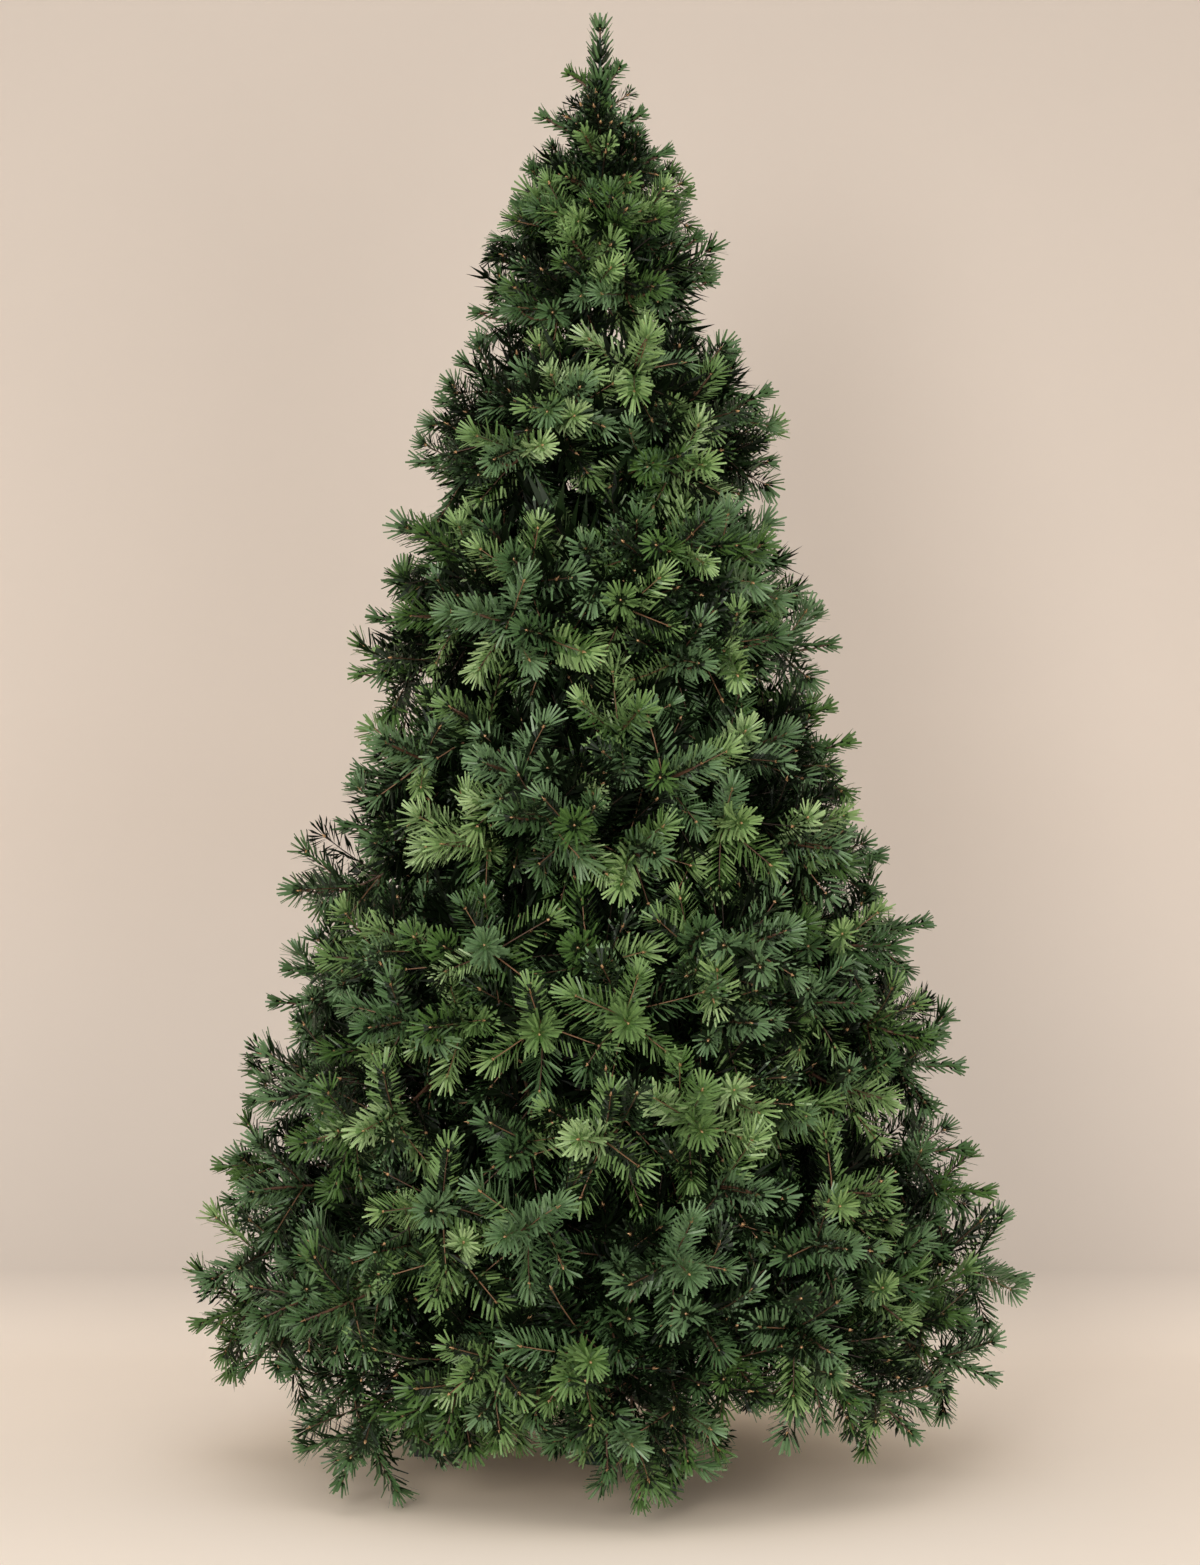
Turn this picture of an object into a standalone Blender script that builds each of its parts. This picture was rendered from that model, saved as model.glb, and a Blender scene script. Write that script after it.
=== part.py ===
"""An artificial Christmas tree on a plain three-legged stand, at its real size in metres.

The origin is the middle of the stand's foot, on the floor. +Z is up and the front of the tree
faces -Y. Headings are in degrees, from the front (0) towards +X (90).

The tree is a pole, the stand that holds it, six tiers of boughs and a leader. Each bough is a
tapering limb that crosses the bare middle of the tree and ends where it enters its own mass of
foliage. Masses are cells of the crown: each has a share of one tier's height and of the full
turn, a narrow dark gap parts it from its neighbours, and its outer face breaks up into tips that
reach the outline of the crown.
"""

import math
import random

import bmesh
import bpy
from mathutils import Vector

# The whole tree
TREE_HEIGHT = 2.10
GAP = 0.0003  # between pieces that touch
FLOOR_CLEARANCE = 0.004  # under the lowest tips, which must not carry the tree

# The crown's outline: its reach at height z is OUTLINE_REACH * (1 - z / TREE_HEIGHT) ** OUTLINE_CURVE
OUTLINE_REACH = 0.68
OUTLINE_CURVE = 0.78
REACH_STEPS = 12  # until the place where a sloping bough meets the outline has settled

# The tiers, whose heights are taken at the trunk, and the boughs' rise per metre of reach
CROWN_FOOT = 0.30
LOWEST_TIER_HEIGHT = 0.28
TIER_SHRINK = 0.0133  # each tier is this much lower than the one below it
LOWEST_RISE = -0.36
HIGHEST_RISE = 0.50
TIER_GAP = 0.016
TURN_GAP = 3.2  # degrees between neighbours in one tier
BOUNDARY_WAVE = 0.014  # height of the waves in the gap between two tiers
WAVES_PER_TURN = 5
WAVE_SHIFT = 9.0  # radians by which the waves turn for each metre of height

# One row a tier, from the bottom: how many boughs, and the heading of the first
TIERS = (
    (7, 4.0),
    (5, 30.0),
    (5, -6.0),
    (4, 22.0),
    (3, 66.0),
    (3, 6.0),
)

# The masses
SQUARES = 5  # along each side of a mass's cage, an odd number, so that a bough meets a flat one
HOLLOW_SHARE = 0.36  # the bare middle, as a share of the tier's reach
TIP_REACH = (0.94, 1.0)  # shares of the outline's reach
VALLEY_REACH = (0.82, 0.88)
RIM_REACH = 0.80
EDGE_TUCK = 0.16  # how far the edges of an outer face are drawn in
UNEVENNESS = 0.10
SAG = 0.045  # how far the lower edge of the lowest masses hangs in its middle
FLOOR_SAG = 0.15  # the same for the two masses in front whose tips touch the floor
FLOOR_MASSES = (0, 6)

# The leader
LEADER_SIDES = 8
LEADER_RINGS = 9
LEADER_RING_CURVE = 0.9  # the rings lie a little closer together towards the top
LEADER_WAIST = 0.62  # the reach between two whorls of tips, as a share of the outline's
LEADER_LOBE = 0.22
LEADER_TILT = 0.06  # how far the corners of a ring differ in height, for each metre of reach

# The boughs, which thin out with the height of the tier
BOUGH_ROOT_RADIUS = 0.0070
BOUGH_TIP_RADIUS = 0.0045
TOP_BOUGH_SHARE = 0.55
BOUGH_ROOT_RUN = 0.016  # the level stretch in the hinge at the pole
BOUGH_TIP_RUN = 0.010  # the level stretch where the bough enters its mass

# The pole: three steel tubes, each slipped into the one below, and a tapering leader stem
POLE_SIDES = 16
POLE_FOOT = 0.0120
LOWER_TUBE_RADIUS = 0.0160
MIDDLE_TUBE_RADIUS = 0.0130
UPPER_TUBE_RADIUS = 0.0100
LOWER_TUBE_TOP = 0.72
MIDDLE_TUBE_TOP = 1.30
UPPER_TUBE_TOP = 1.76
SHOULDER = 0.010  # height of the slope from one tube to the next
LEADER_STEM_RADIUS = 0.0060
POLE_TIP_RADIUS = 0.0018
POLE_TOP = 2.05

# The stand
SOCKET_SIDES = 18
SOCKET_BORE = LOWER_TUBE_RADIUS + 0.0006
SOCKET_RADIUS = SOCKET_BORE + 0.0045
SOCKET_TOP = 0.165
SOCKET_FLOOR = POLE_FOOT - GAP
FOOT_RADIUS = 0.034
FOOT_EDGE = 0.006
LEG_HEADINGS = (20.0, 140.0, 260.0)
LEG_REACH = 0.270
LEG_WIDTH = 0.024
LEG_DEPTH = 0.022
LEG_TOP = 0.132
LEG_FOOT_LENGTH = 0.045
LEG_FOOT_HEIGHT = 0.012
LEG_BEND = LEG_DEPTH / 3  # how far in and up the bend above the foot lies

NEEDLE_GREEN = (0.045, 0.085, 0.040, 1.0)
TWIG_BROWN = (0.120, 0.050, 0.028, 1.0)
POLE_GREEN = (0.030, 0.060, 0.035, 1.0)
STAND_GREEN = (0.022, 0.042, 0.028, 1.0)


def clear_scene():
    for old in list(bpy.data.objects):
        bpy.data.objects.remove(old, do_unlink=True)


def make_collection(name):
    collection = bpy.data.collections.new(name)
    bpy.context.scene.collection.children.link(collection)
    return collection


def make_material(name, colour, roughness, metallic=0.0):
    material = bpy.data.materials.new(name)
    material.use_nodes = True
    shader = material.node_tree.nodes["Principled BSDF"]
    shader.inputs["Base Color"].default_value = colour
    shader.inputs["Roughness"].default_value = roughness
    shader.inputs["Metallic"].default_value = metallic
    material.diffuse_color = colour
    return material


def add_object(name, data, collection, material):
    data.materials.append(material)
    thing = bpy.data.objects.new(name, data)
    collection.objects.link(thing)
    return thing


def mesh_from(name, shape):
    """The finished mesh of a bmesh."""
    mesh = bpy.data.meshes.new(name)
    shape.to_mesh(mesh)
    shape.free()
    return mesh


def at(heading, reach, height):
    """The point at a heading in degrees, a distance from the pole's axis and a height."""
    angle = math.radians(heading)
    return Vector((reach * math.sin(angle), -reach * math.cos(angle), height))


# The crown's shape

def outline(height):
    """The reach of the crown's furthest tips at a height."""
    left = max(0.0, 1.0 - height / TREE_HEIGHT)
    return OUTLINE_REACH * left ** OUTLINE_CURVE


def tier_foot(tier):
    """The height, at the trunk, of the gap under a tier."""
    return CROWN_FOOT + tier * LOWEST_TIER_HEIGHT - TIER_SHRINK * tier * (tier - 1) / 2


LEADER_FOOT = tier_foot(len(TIERS))


def rise(level):
    """How much a bough that leaves the trunk at a height rises for each metre of its reach."""
    share = (level - CROWN_FOOT) / (LEADER_FOOT - CROWN_FOOT)
    return LOWEST_RISE + (HIGHEST_RISE - LOWEST_RISE) * share


def full_reach(level):
    """Where a bough that leaves the trunk at a height meets the outline."""
    reach = 0.0
    for _ in range(REACH_STEPS):
        reach = outline(level + rise(level) * reach)
    return reach


def wave(level, heading):
    """The waves in the gaps between tiers, which each gap has at headings of its own."""
    return BOUNDARY_WAVE * math.sin(math.radians(WAVES_PER_TURN * heading) + WAVE_SHIFT * level)


def hollow(tier):
    """The reach of a tier's bare middle."""
    return HOLLOW_SHARE * full_reach((tier_foot(tier) + tier_foot(tier + 1)) / 2)


def tier_cells():
    """The tier, place in it, heading and half turn in degrees of every mass."""
    for tier, (count, first) in enumerate(TIERS):
        for place in range(count):
            yield tier, place, first + place * 360.0 / count, (360.0 / count - TURN_GAP) / 2


# Foliage

def sag_of(tier, place):
    if tier > 0:
        return 0.0
    return FLOOR_SAG if place in FLOOR_MASSES else SAG


def outer_share(across, up, out, tip, rng):
    """The share of the outline's reach that the outer end of a line from the trunk has."""
    if max(abs(across), abs(up)) > 0.99 or out < 0.99:
        return RIM_REACH
    return rng.uniform(*(TIP_REACH if tip else VALLEY_REACH))


def place_corner(corner, cell, rng):
    """Moves a corner of the cage, whose sides run from -1 to 1, to its place in the crown.

    X runs round the tree, Y up, and Z out from the trunk.
    """
    tier, place, heading, half_turn = cell
    across, up, out = corner
    outward = (out + 1.0) / 2.0
    step = round((across + 1.0) * SQUARES / 2.0) + round((up + 1.0) * SQUARES / 2.0)
    inner = out < -0.99
    uneven = 0.0 if inner else UNEVENNESS * rng.random()
    turn = half_turn * across * (1.0 - uneven - EDGE_TUCK * outward * up * up)
    foot = tier_foot(tier) + TIER_GAP / 2
    head = tier_foot(tier + 1) - TIER_GAP / 2
    half_height = (head - foot) / 2 * (1.0 - uneven - EDGE_TUCK * outward * across * across)
    level = (head + foot) / 2 + up * half_height
    share = outer_share(across, up, out, (step + place) % 2 == 0, rng)
    reach = hollow(tier) + (share * full_reach(level) - hollow(tier)) * outward
    height = level + rise(level) * reach
    height += wave(tier_foot(tier), heading + turn) * (1.0 - up) / 2.0 * (tier > 0)
    height += wave(tier_foot(tier + 1), heading + turn) * (1.0 + up) / 2.0
    hang = outward ** 2 * (1.0 - across ** 2) * (1.0 - up) / 2.0
    height -= sag_of(tier, place) * hang
    return at(heading + turn, reach, max(height, FLOOR_CLEARANCE))


def build_mass(cell, collection, material):
    tier, place, heading, half_turn = cell
    rng = random.Random(f"mass {tier} {place}")
    shape = bmesh.new()
    bmesh.ops.create_cube(shape, size=2.0)
    bmesh.ops.subdivide_edges(
        shape, edges=shape.edges[:], cuts=SQUARES - 1, use_grid_fill=True
    )
    for corner in shape.verts:
        corner.co = place_corner(corner.co.copy(), cell, rng)
    bmesh.ops.triangulate(shape, faces=shape.faces[:])
    name = f"foliage_{tier + 1}_{place + 1}"
    add_object(name, mesh_from(name, shape), collection, material)


def leader_ring(ring):
    """The reach and height of one ring of the leader's cage, from its foot (0) to its top."""
    foot = LEADER_FOOT + TIER_GAP / 2 + BOUNDARY_WAVE
    brim = outline(foot + HIGHEST_RISE * full_reach(LEADER_FOOT)) * RIM_REACH
    if ring == 0:
        return 0.0, foot
    if ring == 1:
        return brim, foot + HIGHEST_RISE * brim
    start = foot + HIGHEST_RISE * brim
    share = ((ring - 1) / (LEADER_RINGS - 1)) ** LEADER_RING_CURVE
    height = start + (TREE_HEIGHT - start) * share
    reach = outline(height) * (1.0 if ring % 2 == 0 else LEADER_WAIST)
    return reach, height


def build_leader(collection, cutters, material):
    """The top of the tree, a spindle with whorls of tips, bored round the end of the pole."""
    shape = bmesh.new()
    bmesh.ops.create_uvsphere(
        shape, u_segments=LEADER_SIDES, v_segments=LEADER_RINGS, radius=1.0
    )
    for corner in shape.verts:
        polar = math.acos(max(-1.0, min(1.0, -corner.co.z)))
        ring = round(polar * LEADER_RINGS / math.pi)
        reach, height = leader_ring(ring)
        turn = math.degrees(math.atan2(corner.co.y, corner.co.x))
        side = round(turn * LEADER_SIDES / 360.0)
        lobe = LEADER_LOBE if (side + ring // 2) % 2 else 0.0
        uneven = LEADER_TILT * reach * (side % 3)
        corner.co = at(turn, reach * (1.0 - lobe), height + uneven)
    bmesh.ops.triangulate(shape, faces=shape.faces[:])
    name = "foliage_leader"
    leader = add_object(name, mesh_from(name, shape), collection, material)

    bore = turned("leader_bore", pole_profile(GAP), POLE_SIDES, cutters, material)
    bore.display_type = "WIRE"
    bore.hide_render = True
    cut = leader.modifiers.new("round the pole", "BOOLEAN")
    cut.operation = "DIFFERENCE"
    cut.solver = "EXACT"
    cut.object = bore


# Pole and boughs

def pole_profile(extra=0.0):
    """The pole's reach and height from its tip down to its foot, thicker by an extra."""
    sections = (
        (POLE_TIP_RADIUS, POLE_TOP),
        (LEADER_STEM_RADIUS, UPPER_TUBE_TOP + SHOULDER),
        (UPPER_TUBE_RADIUS, UPPER_TUBE_TOP),
        (UPPER_TUBE_RADIUS, MIDDLE_TUBE_TOP + SHOULDER),
        (MIDDLE_TUBE_RADIUS, MIDDLE_TUBE_TOP),
        (MIDDLE_TUBE_RADIUS, LOWER_TUBE_TOP + SHOULDER),
        (LOWER_TUBE_RADIUS, LOWER_TUBE_TOP),
        (LOWER_TUBE_RADIUS, POLE_FOOT),
    )
    profile = [(radius + extra, height) for radius, height in sections]
    return [(0.0, POLE_TOP + extra), (profile[0][0], POLE_TOP + extra), *profile[1:],
            (0.0, POLE_FOOT)]


def pole_radius(height):
    if height < LOWER_TUBE_TOP:
        return LOWER_TUBE_RADIUS
    if height < MIDDLE_TUBE_TOP:
        return MIDDLE_TUBE_RADIUS
    return UPPER_TUBE_RADIUS


def turned(name, profile, sides, collection, material):
    """A solid turned about Z from a profile that runs down its outer side."""
    shape = bmesh.new()
    corners = [shape.verts.new((reach, 0.0, height)) for reach, height in profile]
    for above, below in zip(corners, corners[1:]):
        shape.edges.new((above, below))
    mesh = bpy.data.meshes.new(name)
    shape.to_mesh(mesh)
    shape.free()
    thing = add_object(name, mesh, collection, material)
    screw = thing.modifiers.new("turned", "SCREW")
    screw.axis = "Z"
    screw.steps = sides
    screw.render_steps = sides
    screw.use_merge_vertices = True
    screw.merge_threshold = 0.0001
    return thing


def build_bough(cell, collection, material):
    """A limb from the pole's side to the inner face of its mass, which it meets squarely."""
    tier, place, heading, half_turn = cell
    level = (tier_foot(tier) + tier_foot(tier + 1)) / 2
    share = 1.0 - (1.0 - TOP_BOUGH_SHARE) * tier / (len(TIERS) - 1)
    start = pole_radius(level) + GAP
    end = hollow(tier) * math.cos(math.radians(half_turn / SQUARES)) - GAP
    drop = rise(level) * hollow(tier)
    route = (
        (start, 0.0),
        (start + BOUGH_ROOT_RUN * share, 0.0),
        (end - BOUGH_TIP_RUN * share, drop),
        (end, drop),
    )

    limb = bpy.data.curves.new(f"bough_{tier + 1}_{place + 1}", "CURVE")
    limb.dimensions = "3D"
    limb.bevel_depth = 1.0
    limb.bevel_resolution = 2
    limb.use_fill_caps = True
    spline = limb.splines.new("POLY")
    spline.points.add(len(route) - 1)
    for point, (reach, height) in zip(spline.points, route):
        along = (reach - start) / (end - start)
        point.co = (*at(heading, reach, level + height), 1.0)
        point.radius = share * (BOUGH_ROOT_RADIUS * (1.0 - along) + BOUGH_TIP_RADIUS * along)
    add_object(limb.name, limb, collection, material)


# Stand

def build_socket(collection, material):
    """The tube that holds the pole, closed below by a foot that stands on the floor."""
    profile = [
        (0.0, SOCKET_FLOOR),
        (SOCKET_BORE, SOCKET_FLOOR),
        (SOCKET_BORE, SOCKET_TOP),
        (SOCKET_RADIUS, SOCKET_TOP),
        (SOCKET_RADIUS, FOOT_EDGE * 2),
        (FOOT_RADIUS, FOOT_EDGE),
        (FOOT_RADIUS, 0.0),
        (0.0, 0.0),
    ]
    socket = turned("stand_socket", profile, SOCKET_SIDES, collection, material)
    half_step = math.pi / SOCKET_SIDES
    socket.rotation_euler.z = math.radians(LEG_HEADINGS[0]) - math.pi / 2 + half_step


def build_leg(number, heading, collection, material):
    """A bar that slopes from the socket down to a flat foot, drawn from the side."""
    inner = SOCKET_RADIUS * math.cos(math.pi / SOCKET_SIDES) + GAP
    foot_start = LEG_REACH - LEG_FOOT_LENGTH
    corners = (
        (inner, LEG_TOP),
        (inner, LEG_TOP - LEG_DEPTH),
        (foot_start, 0.0),
        (LEG_REACH, 0.0),
        (LEG_REACH, LEG_FOOT_HEIGHT),
        (foot_start + LEG_BEND, LEG_FOOT_HEIGHT + LEG_BEND),
    )
    name = f"stand_leg_{number}"
    side = bpy.data.curves.new(name, "CURVE")
    side.dimensions = "2D"
    side.fill_mode = "BOTH"
    side.extrude = LEG_WIDTH / 2
    spline = side.splines.new("POLY")
    spline.points.add(len(corners) - 1)
    spline.use_cyclic_u = True
    for point, (reach, height) in zip(spline.points, corners):
        point.co = (reach, height, 0.0, 1.0)
    leg = add_object(name, side, collection, material)
    leg.rotation_euler = (math.pi / 2, 0.0, math.radians(heading) - math.pi / 2)


def main():
    clear_scene()
    tree = make_collection("christmas_tree")
    cutters = make_collection("cutters")
    needles = make_material("needles", NEEDLE_GREEN, 0.55)
    twig = make_material("bough_bark", TWIG_BROWN, 0.60)
    pole_paint = make_material("pole_paint", POLE_GREEN, 0.45)
    stand_paint = make_material("stand_paint", STAND_GREEN, 0.40)

    turned("trunk", pole_profile(), POLE_SIDES, tree, pole_paint)
    for cell in tier_cells():
        build_bough(cell, tree, twig)
        build_mass(cell, tree, needles)
    build_leader(tree, cutters, needles)
    build_socket(tree, stand_paint)
    for number, heading in enumerate(LEG_HEADINGS, 1):
        build_leg(number, heading, tree, stand_paint)


main()
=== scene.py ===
"""The looks of a full artificial Christmas tree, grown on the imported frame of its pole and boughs.

Each main bough of the frame carries a mass of foliage. Here it branches: stems leave it by a
seeded rule and bend out to their own tips on the crown's outline, each stem carries a fan of
moulded sprigs, and each sprig is a twig with a bud and a few dozen blunt needles. Headings are in
degrees from the front of the tree, which faces -Y, towards +X.
"""

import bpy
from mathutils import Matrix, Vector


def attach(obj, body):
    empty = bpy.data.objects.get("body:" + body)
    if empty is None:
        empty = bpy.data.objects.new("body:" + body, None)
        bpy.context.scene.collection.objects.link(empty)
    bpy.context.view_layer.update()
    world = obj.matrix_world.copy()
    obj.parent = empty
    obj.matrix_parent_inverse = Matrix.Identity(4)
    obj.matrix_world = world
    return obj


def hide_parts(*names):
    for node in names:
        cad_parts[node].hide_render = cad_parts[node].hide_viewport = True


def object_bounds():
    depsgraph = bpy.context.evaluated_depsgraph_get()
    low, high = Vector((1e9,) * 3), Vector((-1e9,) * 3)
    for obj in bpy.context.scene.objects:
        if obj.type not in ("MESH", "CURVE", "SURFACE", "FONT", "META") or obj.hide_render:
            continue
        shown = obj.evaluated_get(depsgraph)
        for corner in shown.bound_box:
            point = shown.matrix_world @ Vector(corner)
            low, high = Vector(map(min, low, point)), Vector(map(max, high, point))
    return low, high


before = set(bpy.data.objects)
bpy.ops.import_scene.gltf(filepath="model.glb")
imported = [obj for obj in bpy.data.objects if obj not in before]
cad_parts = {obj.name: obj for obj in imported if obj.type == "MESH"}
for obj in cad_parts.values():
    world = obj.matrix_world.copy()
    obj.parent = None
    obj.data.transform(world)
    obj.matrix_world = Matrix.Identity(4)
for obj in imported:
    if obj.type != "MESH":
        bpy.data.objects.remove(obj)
CAD_BOX = [list(corner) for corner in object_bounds()]

import math
import re

import bmesh
import bpy
import numpy as np
from bpy.props import FloatProperty, FloatVectorProperty, IntProperty, PointerProperty
from mathutils import Vector

bl_info = {
    "name": "Artificial Christmas Tree",
    "version": (1, 0, 0),
    "blender": (4, 5, 0),
    "location": "3D View > Sidebar > Christmas Tree",
    "description": "Grows an artificial Christmas tree on the frame of its pole and boughs",
    "category": "Object",
}

BODY = "root"
TREE_HEIGHT = CAD_BOX[1][2]
PHOTO_SIZE = (1200, 1565)
FLOOR_FILM = 0.0015  # the lowest that a needle on the floor may reach
NEAR = 0.001  # corners of the frame this close to a plane or a radius lie on it
SAME = 0.0001  # and reaches this close are the same
UP = np.array([0.0, 0.0, 1.0])
# What each chance adds to the crown's seed, and the leader's own number
SPRIG_SEED = 1
NEEDLE_SEED = 3
TWIG_SEED = 4
LEADER_SEED = 99


def length_setting(name, description, default):
    return FloatProperty(name=name, description=description, default=default,
                         unit="LENGTH", subtype="DISTANCE", min=0.0, precision=4)


def colour_setting(name, description, default):
    return FloatVectorProperty(name=name, description=description, default=default,
                               subtype="COLOR", size=3, min=0.0, max=1.0)


def share_setting(name, description, default):
    return FloatProperty(name=name, description=description, default=default,
                         min=0.0, max=1.0, subtype="FACTOR")


def angle_setting(name, description, degrees):
    return FloatProperty(name=name, description=description, default=math.radians(degrees),
                         subtype="ANGLE", unit="ROTATION")


# Settings

class CrownSettings(bpy.types.PropertyGroup):
    seed: IntProperty(name="Seed", description="Which tree grows", default=7)
    floor_reach: length_setting("Reach", "What the outline would reach at the floor", 0.68)
    reach_curve: FloatProperty(name="Curve", default=0.78,
                               description="Power of the height left above that sets the reach")
    tuck: share_setting("Tuck", "How far the outline draws in at the floor", 0.84)
    tuck_height: length_setting("Tuck height", "Where the outline begins to draw in", 0.26)
    tip_spacing: length_setting("Tip spacing", "Between the tips of neighbouring stems", 0.147)
    tip_depth: share_setting("Tip depth", "How far a tip may fall short of the outline", 0.20)
    lowest_pitch: angle_setting("Lowest pitch", "Slope of the lowest stems' tips", -30.0)
    highest_pitch: angle_setting("Highest pitch", "Slope of the highest stems' tips", 42.0)
    stem_radius: length_setting("Stem radius", "Where a stem leaves its main bough", 0.0030)


class SprigSettings(bpy.types.PropertyGroup):
    length: length_setting("Length", "The stretch of a sprig that has needles", 0.095)
    needle_length: length_setting("Needle length", "Of a middling needle", 0.037)
    needle_width: length_setting("Needle width", "At its widest", 0.0042)
    twig_radius: length_setting("Twig radius", "Where a sprig begins", 0.0013)
    whorl_angle: angle_setting("Whorl angle", "Between a stem and its side sprigs", 54.0)
    bud_radius: length_setting("Bud radius", "Of the bud at a sprig's end", 0.0026)


class ColourSettings(bpy.types.PropertyGroup):
    # Painted shade: the near-black given to needles deep in the crown, for the shade there.
    night_green: colour_setting("Night green", "Needles deep inside", (0.003, 0.006, 0.002))
    # The needles' own dark foot colour, made darker still as painted shade in the cores of the
    # sprigs.
    deep_green: colour_setting("Deep green", "The darkest outer needles", (0.008, 0.019, 0.005))
    blue_green: colour_setting("Blue green", "Most of the needles", (0.069, 0.139, 0.048))
    slate_green: colour_setting("Slate green", "Bluish needle ends", (0.122, 0.214, 0.094))
    forest_green: colour_setting("Forest green", "Warmer dark needles", (0.074, 0.150, 0.034))
    leaf_green: colour_setting("Leaf green", "Half bright needles", (0.150, 0.255, 0.080))
    bright_green: colour_setting("Bright green", "The bright sprigs", (0.236, 0.362, 0.132))
    tip_green: colour_setting("Tip green", "Ends of the bright sprigs", (0.325, 0.455, 0.205))
    film_brown: colour_setting("Film brown", "The film round the wires", (0.100, 0.049, 0.027))
    film_tan: colour_setting("Film tan", "Lighter film on the outer twigs", (0.260, 0.140, 0.075))
    # Painted shade: the same film as the others, darkened for the inner twigs.
    film_dark: colour_setting("Film dark", "Film on the inner twigs", (0.026, 0.015, 0.009))
    bud_tan: colour_setting("Bud tan", "The buds", (0.560, 0.330, 0.160))
    coat_green: colour_setting("Coat green", "The powder coat", (0.016, 0.036, 0.022))
    coat_worn: colour_setting("Worn coat", "Paler patches of the coat", (0.034, 0.070, 0.044))
    rubber_black: colour_setting("Rubber black", "The feet's caps", (0.014, 0.014, 0.015))
    rubber_grey: colour_setting("Rubber grey", "Dusty patches of them", (0.040, 0.039, 0.038))
    zinc_grey: colour_setting("Zinc grey", "The eye screws", (0.560, 0.570, 0.580))
    zinc_dull: colour_setting("Dull zinc", "Dull patches of them", (0.380, 0.390, 0.400))


class StandSettings(bpy.types.PropertyGroup):
    rim: length_setting("Rim", "How far a tube's rolled rim stands out", 0.0007)
    collar: length_setting("Collar", "Thickness of a hinge collar", 0.0012)
    flange: length_setting("Flange", "How far a hinge's flanges stand out", 0.0065)
    screw_height: length_setting("Screw height", "Of the eye screws", 0.148)
    screw_radius: length_setting("Screw radius", "Of an eye screw's shank", 0.0026)
    screw_reach: length_setting("Screw reach", "Of the shank's outer end", 0.0300)
    eye_radius: length_setting("Eye radius", "Of the middle line of its ring", 0.0075)
    cap_length: length_setting("Cap length", "Of a foot's rubber cap", 0.028)
    edge_radius: length_setting("Edge radius", "Of the legs' rounded edges", 0.0020)


class StageSettings(bpy.types.PropertyGroup):
    camera_distance: length_setting("Camera distance", "From the pole", 5.5)
    camera_height: length_setting("Camera height", "Above the floor", 1.05)
    focal_pixels: FloatProperty(name="Focal length", default=3817.0,
                                description="In pixels of the photograph's 1565 rows")
    horizon_row: FloatProperty(name="Horizon", default=734.0,
                               description="The row of the photograph at the camera's height")
    wall_distance: length_setting("Wall", "From the pole to the backdrop's wall", 1.75)
    wall: colour_setting("Wall", "The backdrop's wall", (0.660, 0.583, 0.514))
    floor: colour_setting("Floor", "The backdrop's floor", (0.970, 0.865, 0.755))
    # A painted shadow: the warm colour of the shade under the tree, painted into the floor out to
    # the reach below.
    floor_shadow_tint: colour_setting("Floor glow", "The floor under the tree", (0.980, 0.780, 0.560))
    shadow_tint_reach: length_setting("Shadow reach", "From the pole to the end of that tint", 0.75)
    key_power: FloatProperty(name="Key", description="Watts of the soft key light", default=158.0)
    top_power: FloatProperty(name="Top", description="Watts of the light above", default=22.0)
    fill_power: FloatProperty(name="Fill", description="Watts of the fill light", default=84.0)
    sky_top: share_setting("Sky top", "Its strength overhead, of that at the horizon", 0.68)
    sky_strength: FloatProperty(name="Sky", description="Strength of the even light", default=0.92)


# Small vector work

def unit(vector):
    return vector / max(float(np.linalg.norm(vector)), 1e-9)


def at(heading, reach, height):
    """The point at a heading in degrees, a reach from the pole's axis and a height."""
    angle = math.radians(heading)
    return np.array([reach * math.sin(angle), -reach * math.cos(angle), height])


def aimed(heading, pitch):
    """The direction at a heading in degrees and a slope in radians above the level."""
    return at(heading, math.cos(pitch), math.sin(pitch))


def square_to(direction, hint):
    """The direction nearest a hint that is square to another."""
    side = hint - direction * float(np.dot(hint, direction))
    if np.linalg.norm(side) < 1e-4:
        side = np.cross(direction, [0.3, 0.9, 0.2])
    return unit(side)


def turned_about(vector, axis, angle):
    return (
        vector * math.cos(angle)
        + np.cross(axis, vector) * math.sin(angle)
        + axis * float(np.dot(axis, vector)) * (1.0 - math.cos(angle))
    )


# Joined meshes

class Gathered:
    """Triangles gathered from many small things, for one joined mesh."""

    def __init__(self):
        self.points = []
        self.triangles = []
        self.tints = []
        self.count = 0

    def add(self, points, triangles, tints=0):
        self.points.append(points)
        self.triangles.append(triangles + self.count)
        self.tints.append(np.broadcast_to(tints, len(triangles)))
        self.count += len(points)

    def make(self, name, materials, smooth=False):
        mesh = bpy.data.meshes.new(name)
        points = np.concatenate(self.points)
        triangles = np.concatenate(self.triangles)
        mesh.vertices.add(len(points))
        mesh.vertices.foreach_set("co", points.astype(np.float32).ravel())
        mesh.loops.add(triangles.size)
        mesh.loops.foreach_set("vertex_index", triangles.astype(np.int32).ravel())
        mesh.polygons.add(len(triangles))
        mesh.polygons.foreach_set("loop_start", np.arange(0, triangles.size, 3, dtype=np.int32))
        tints = np.concatenate(self.tints).astype(np.int32)
        mesh.polygons.foreach_set("material_index", tints)
        mesh.polygons.foreach_set("use_smooth", np.full(len(triangles), smooth))
        for material in materials:
            mesh.materials.append(material)
        mesh.update()
        mesh.validate()
        thing = bpy.data.objects.new(name, mesh)
        bpy.context.scene.collection.objects.link(thing)
        return thing


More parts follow.
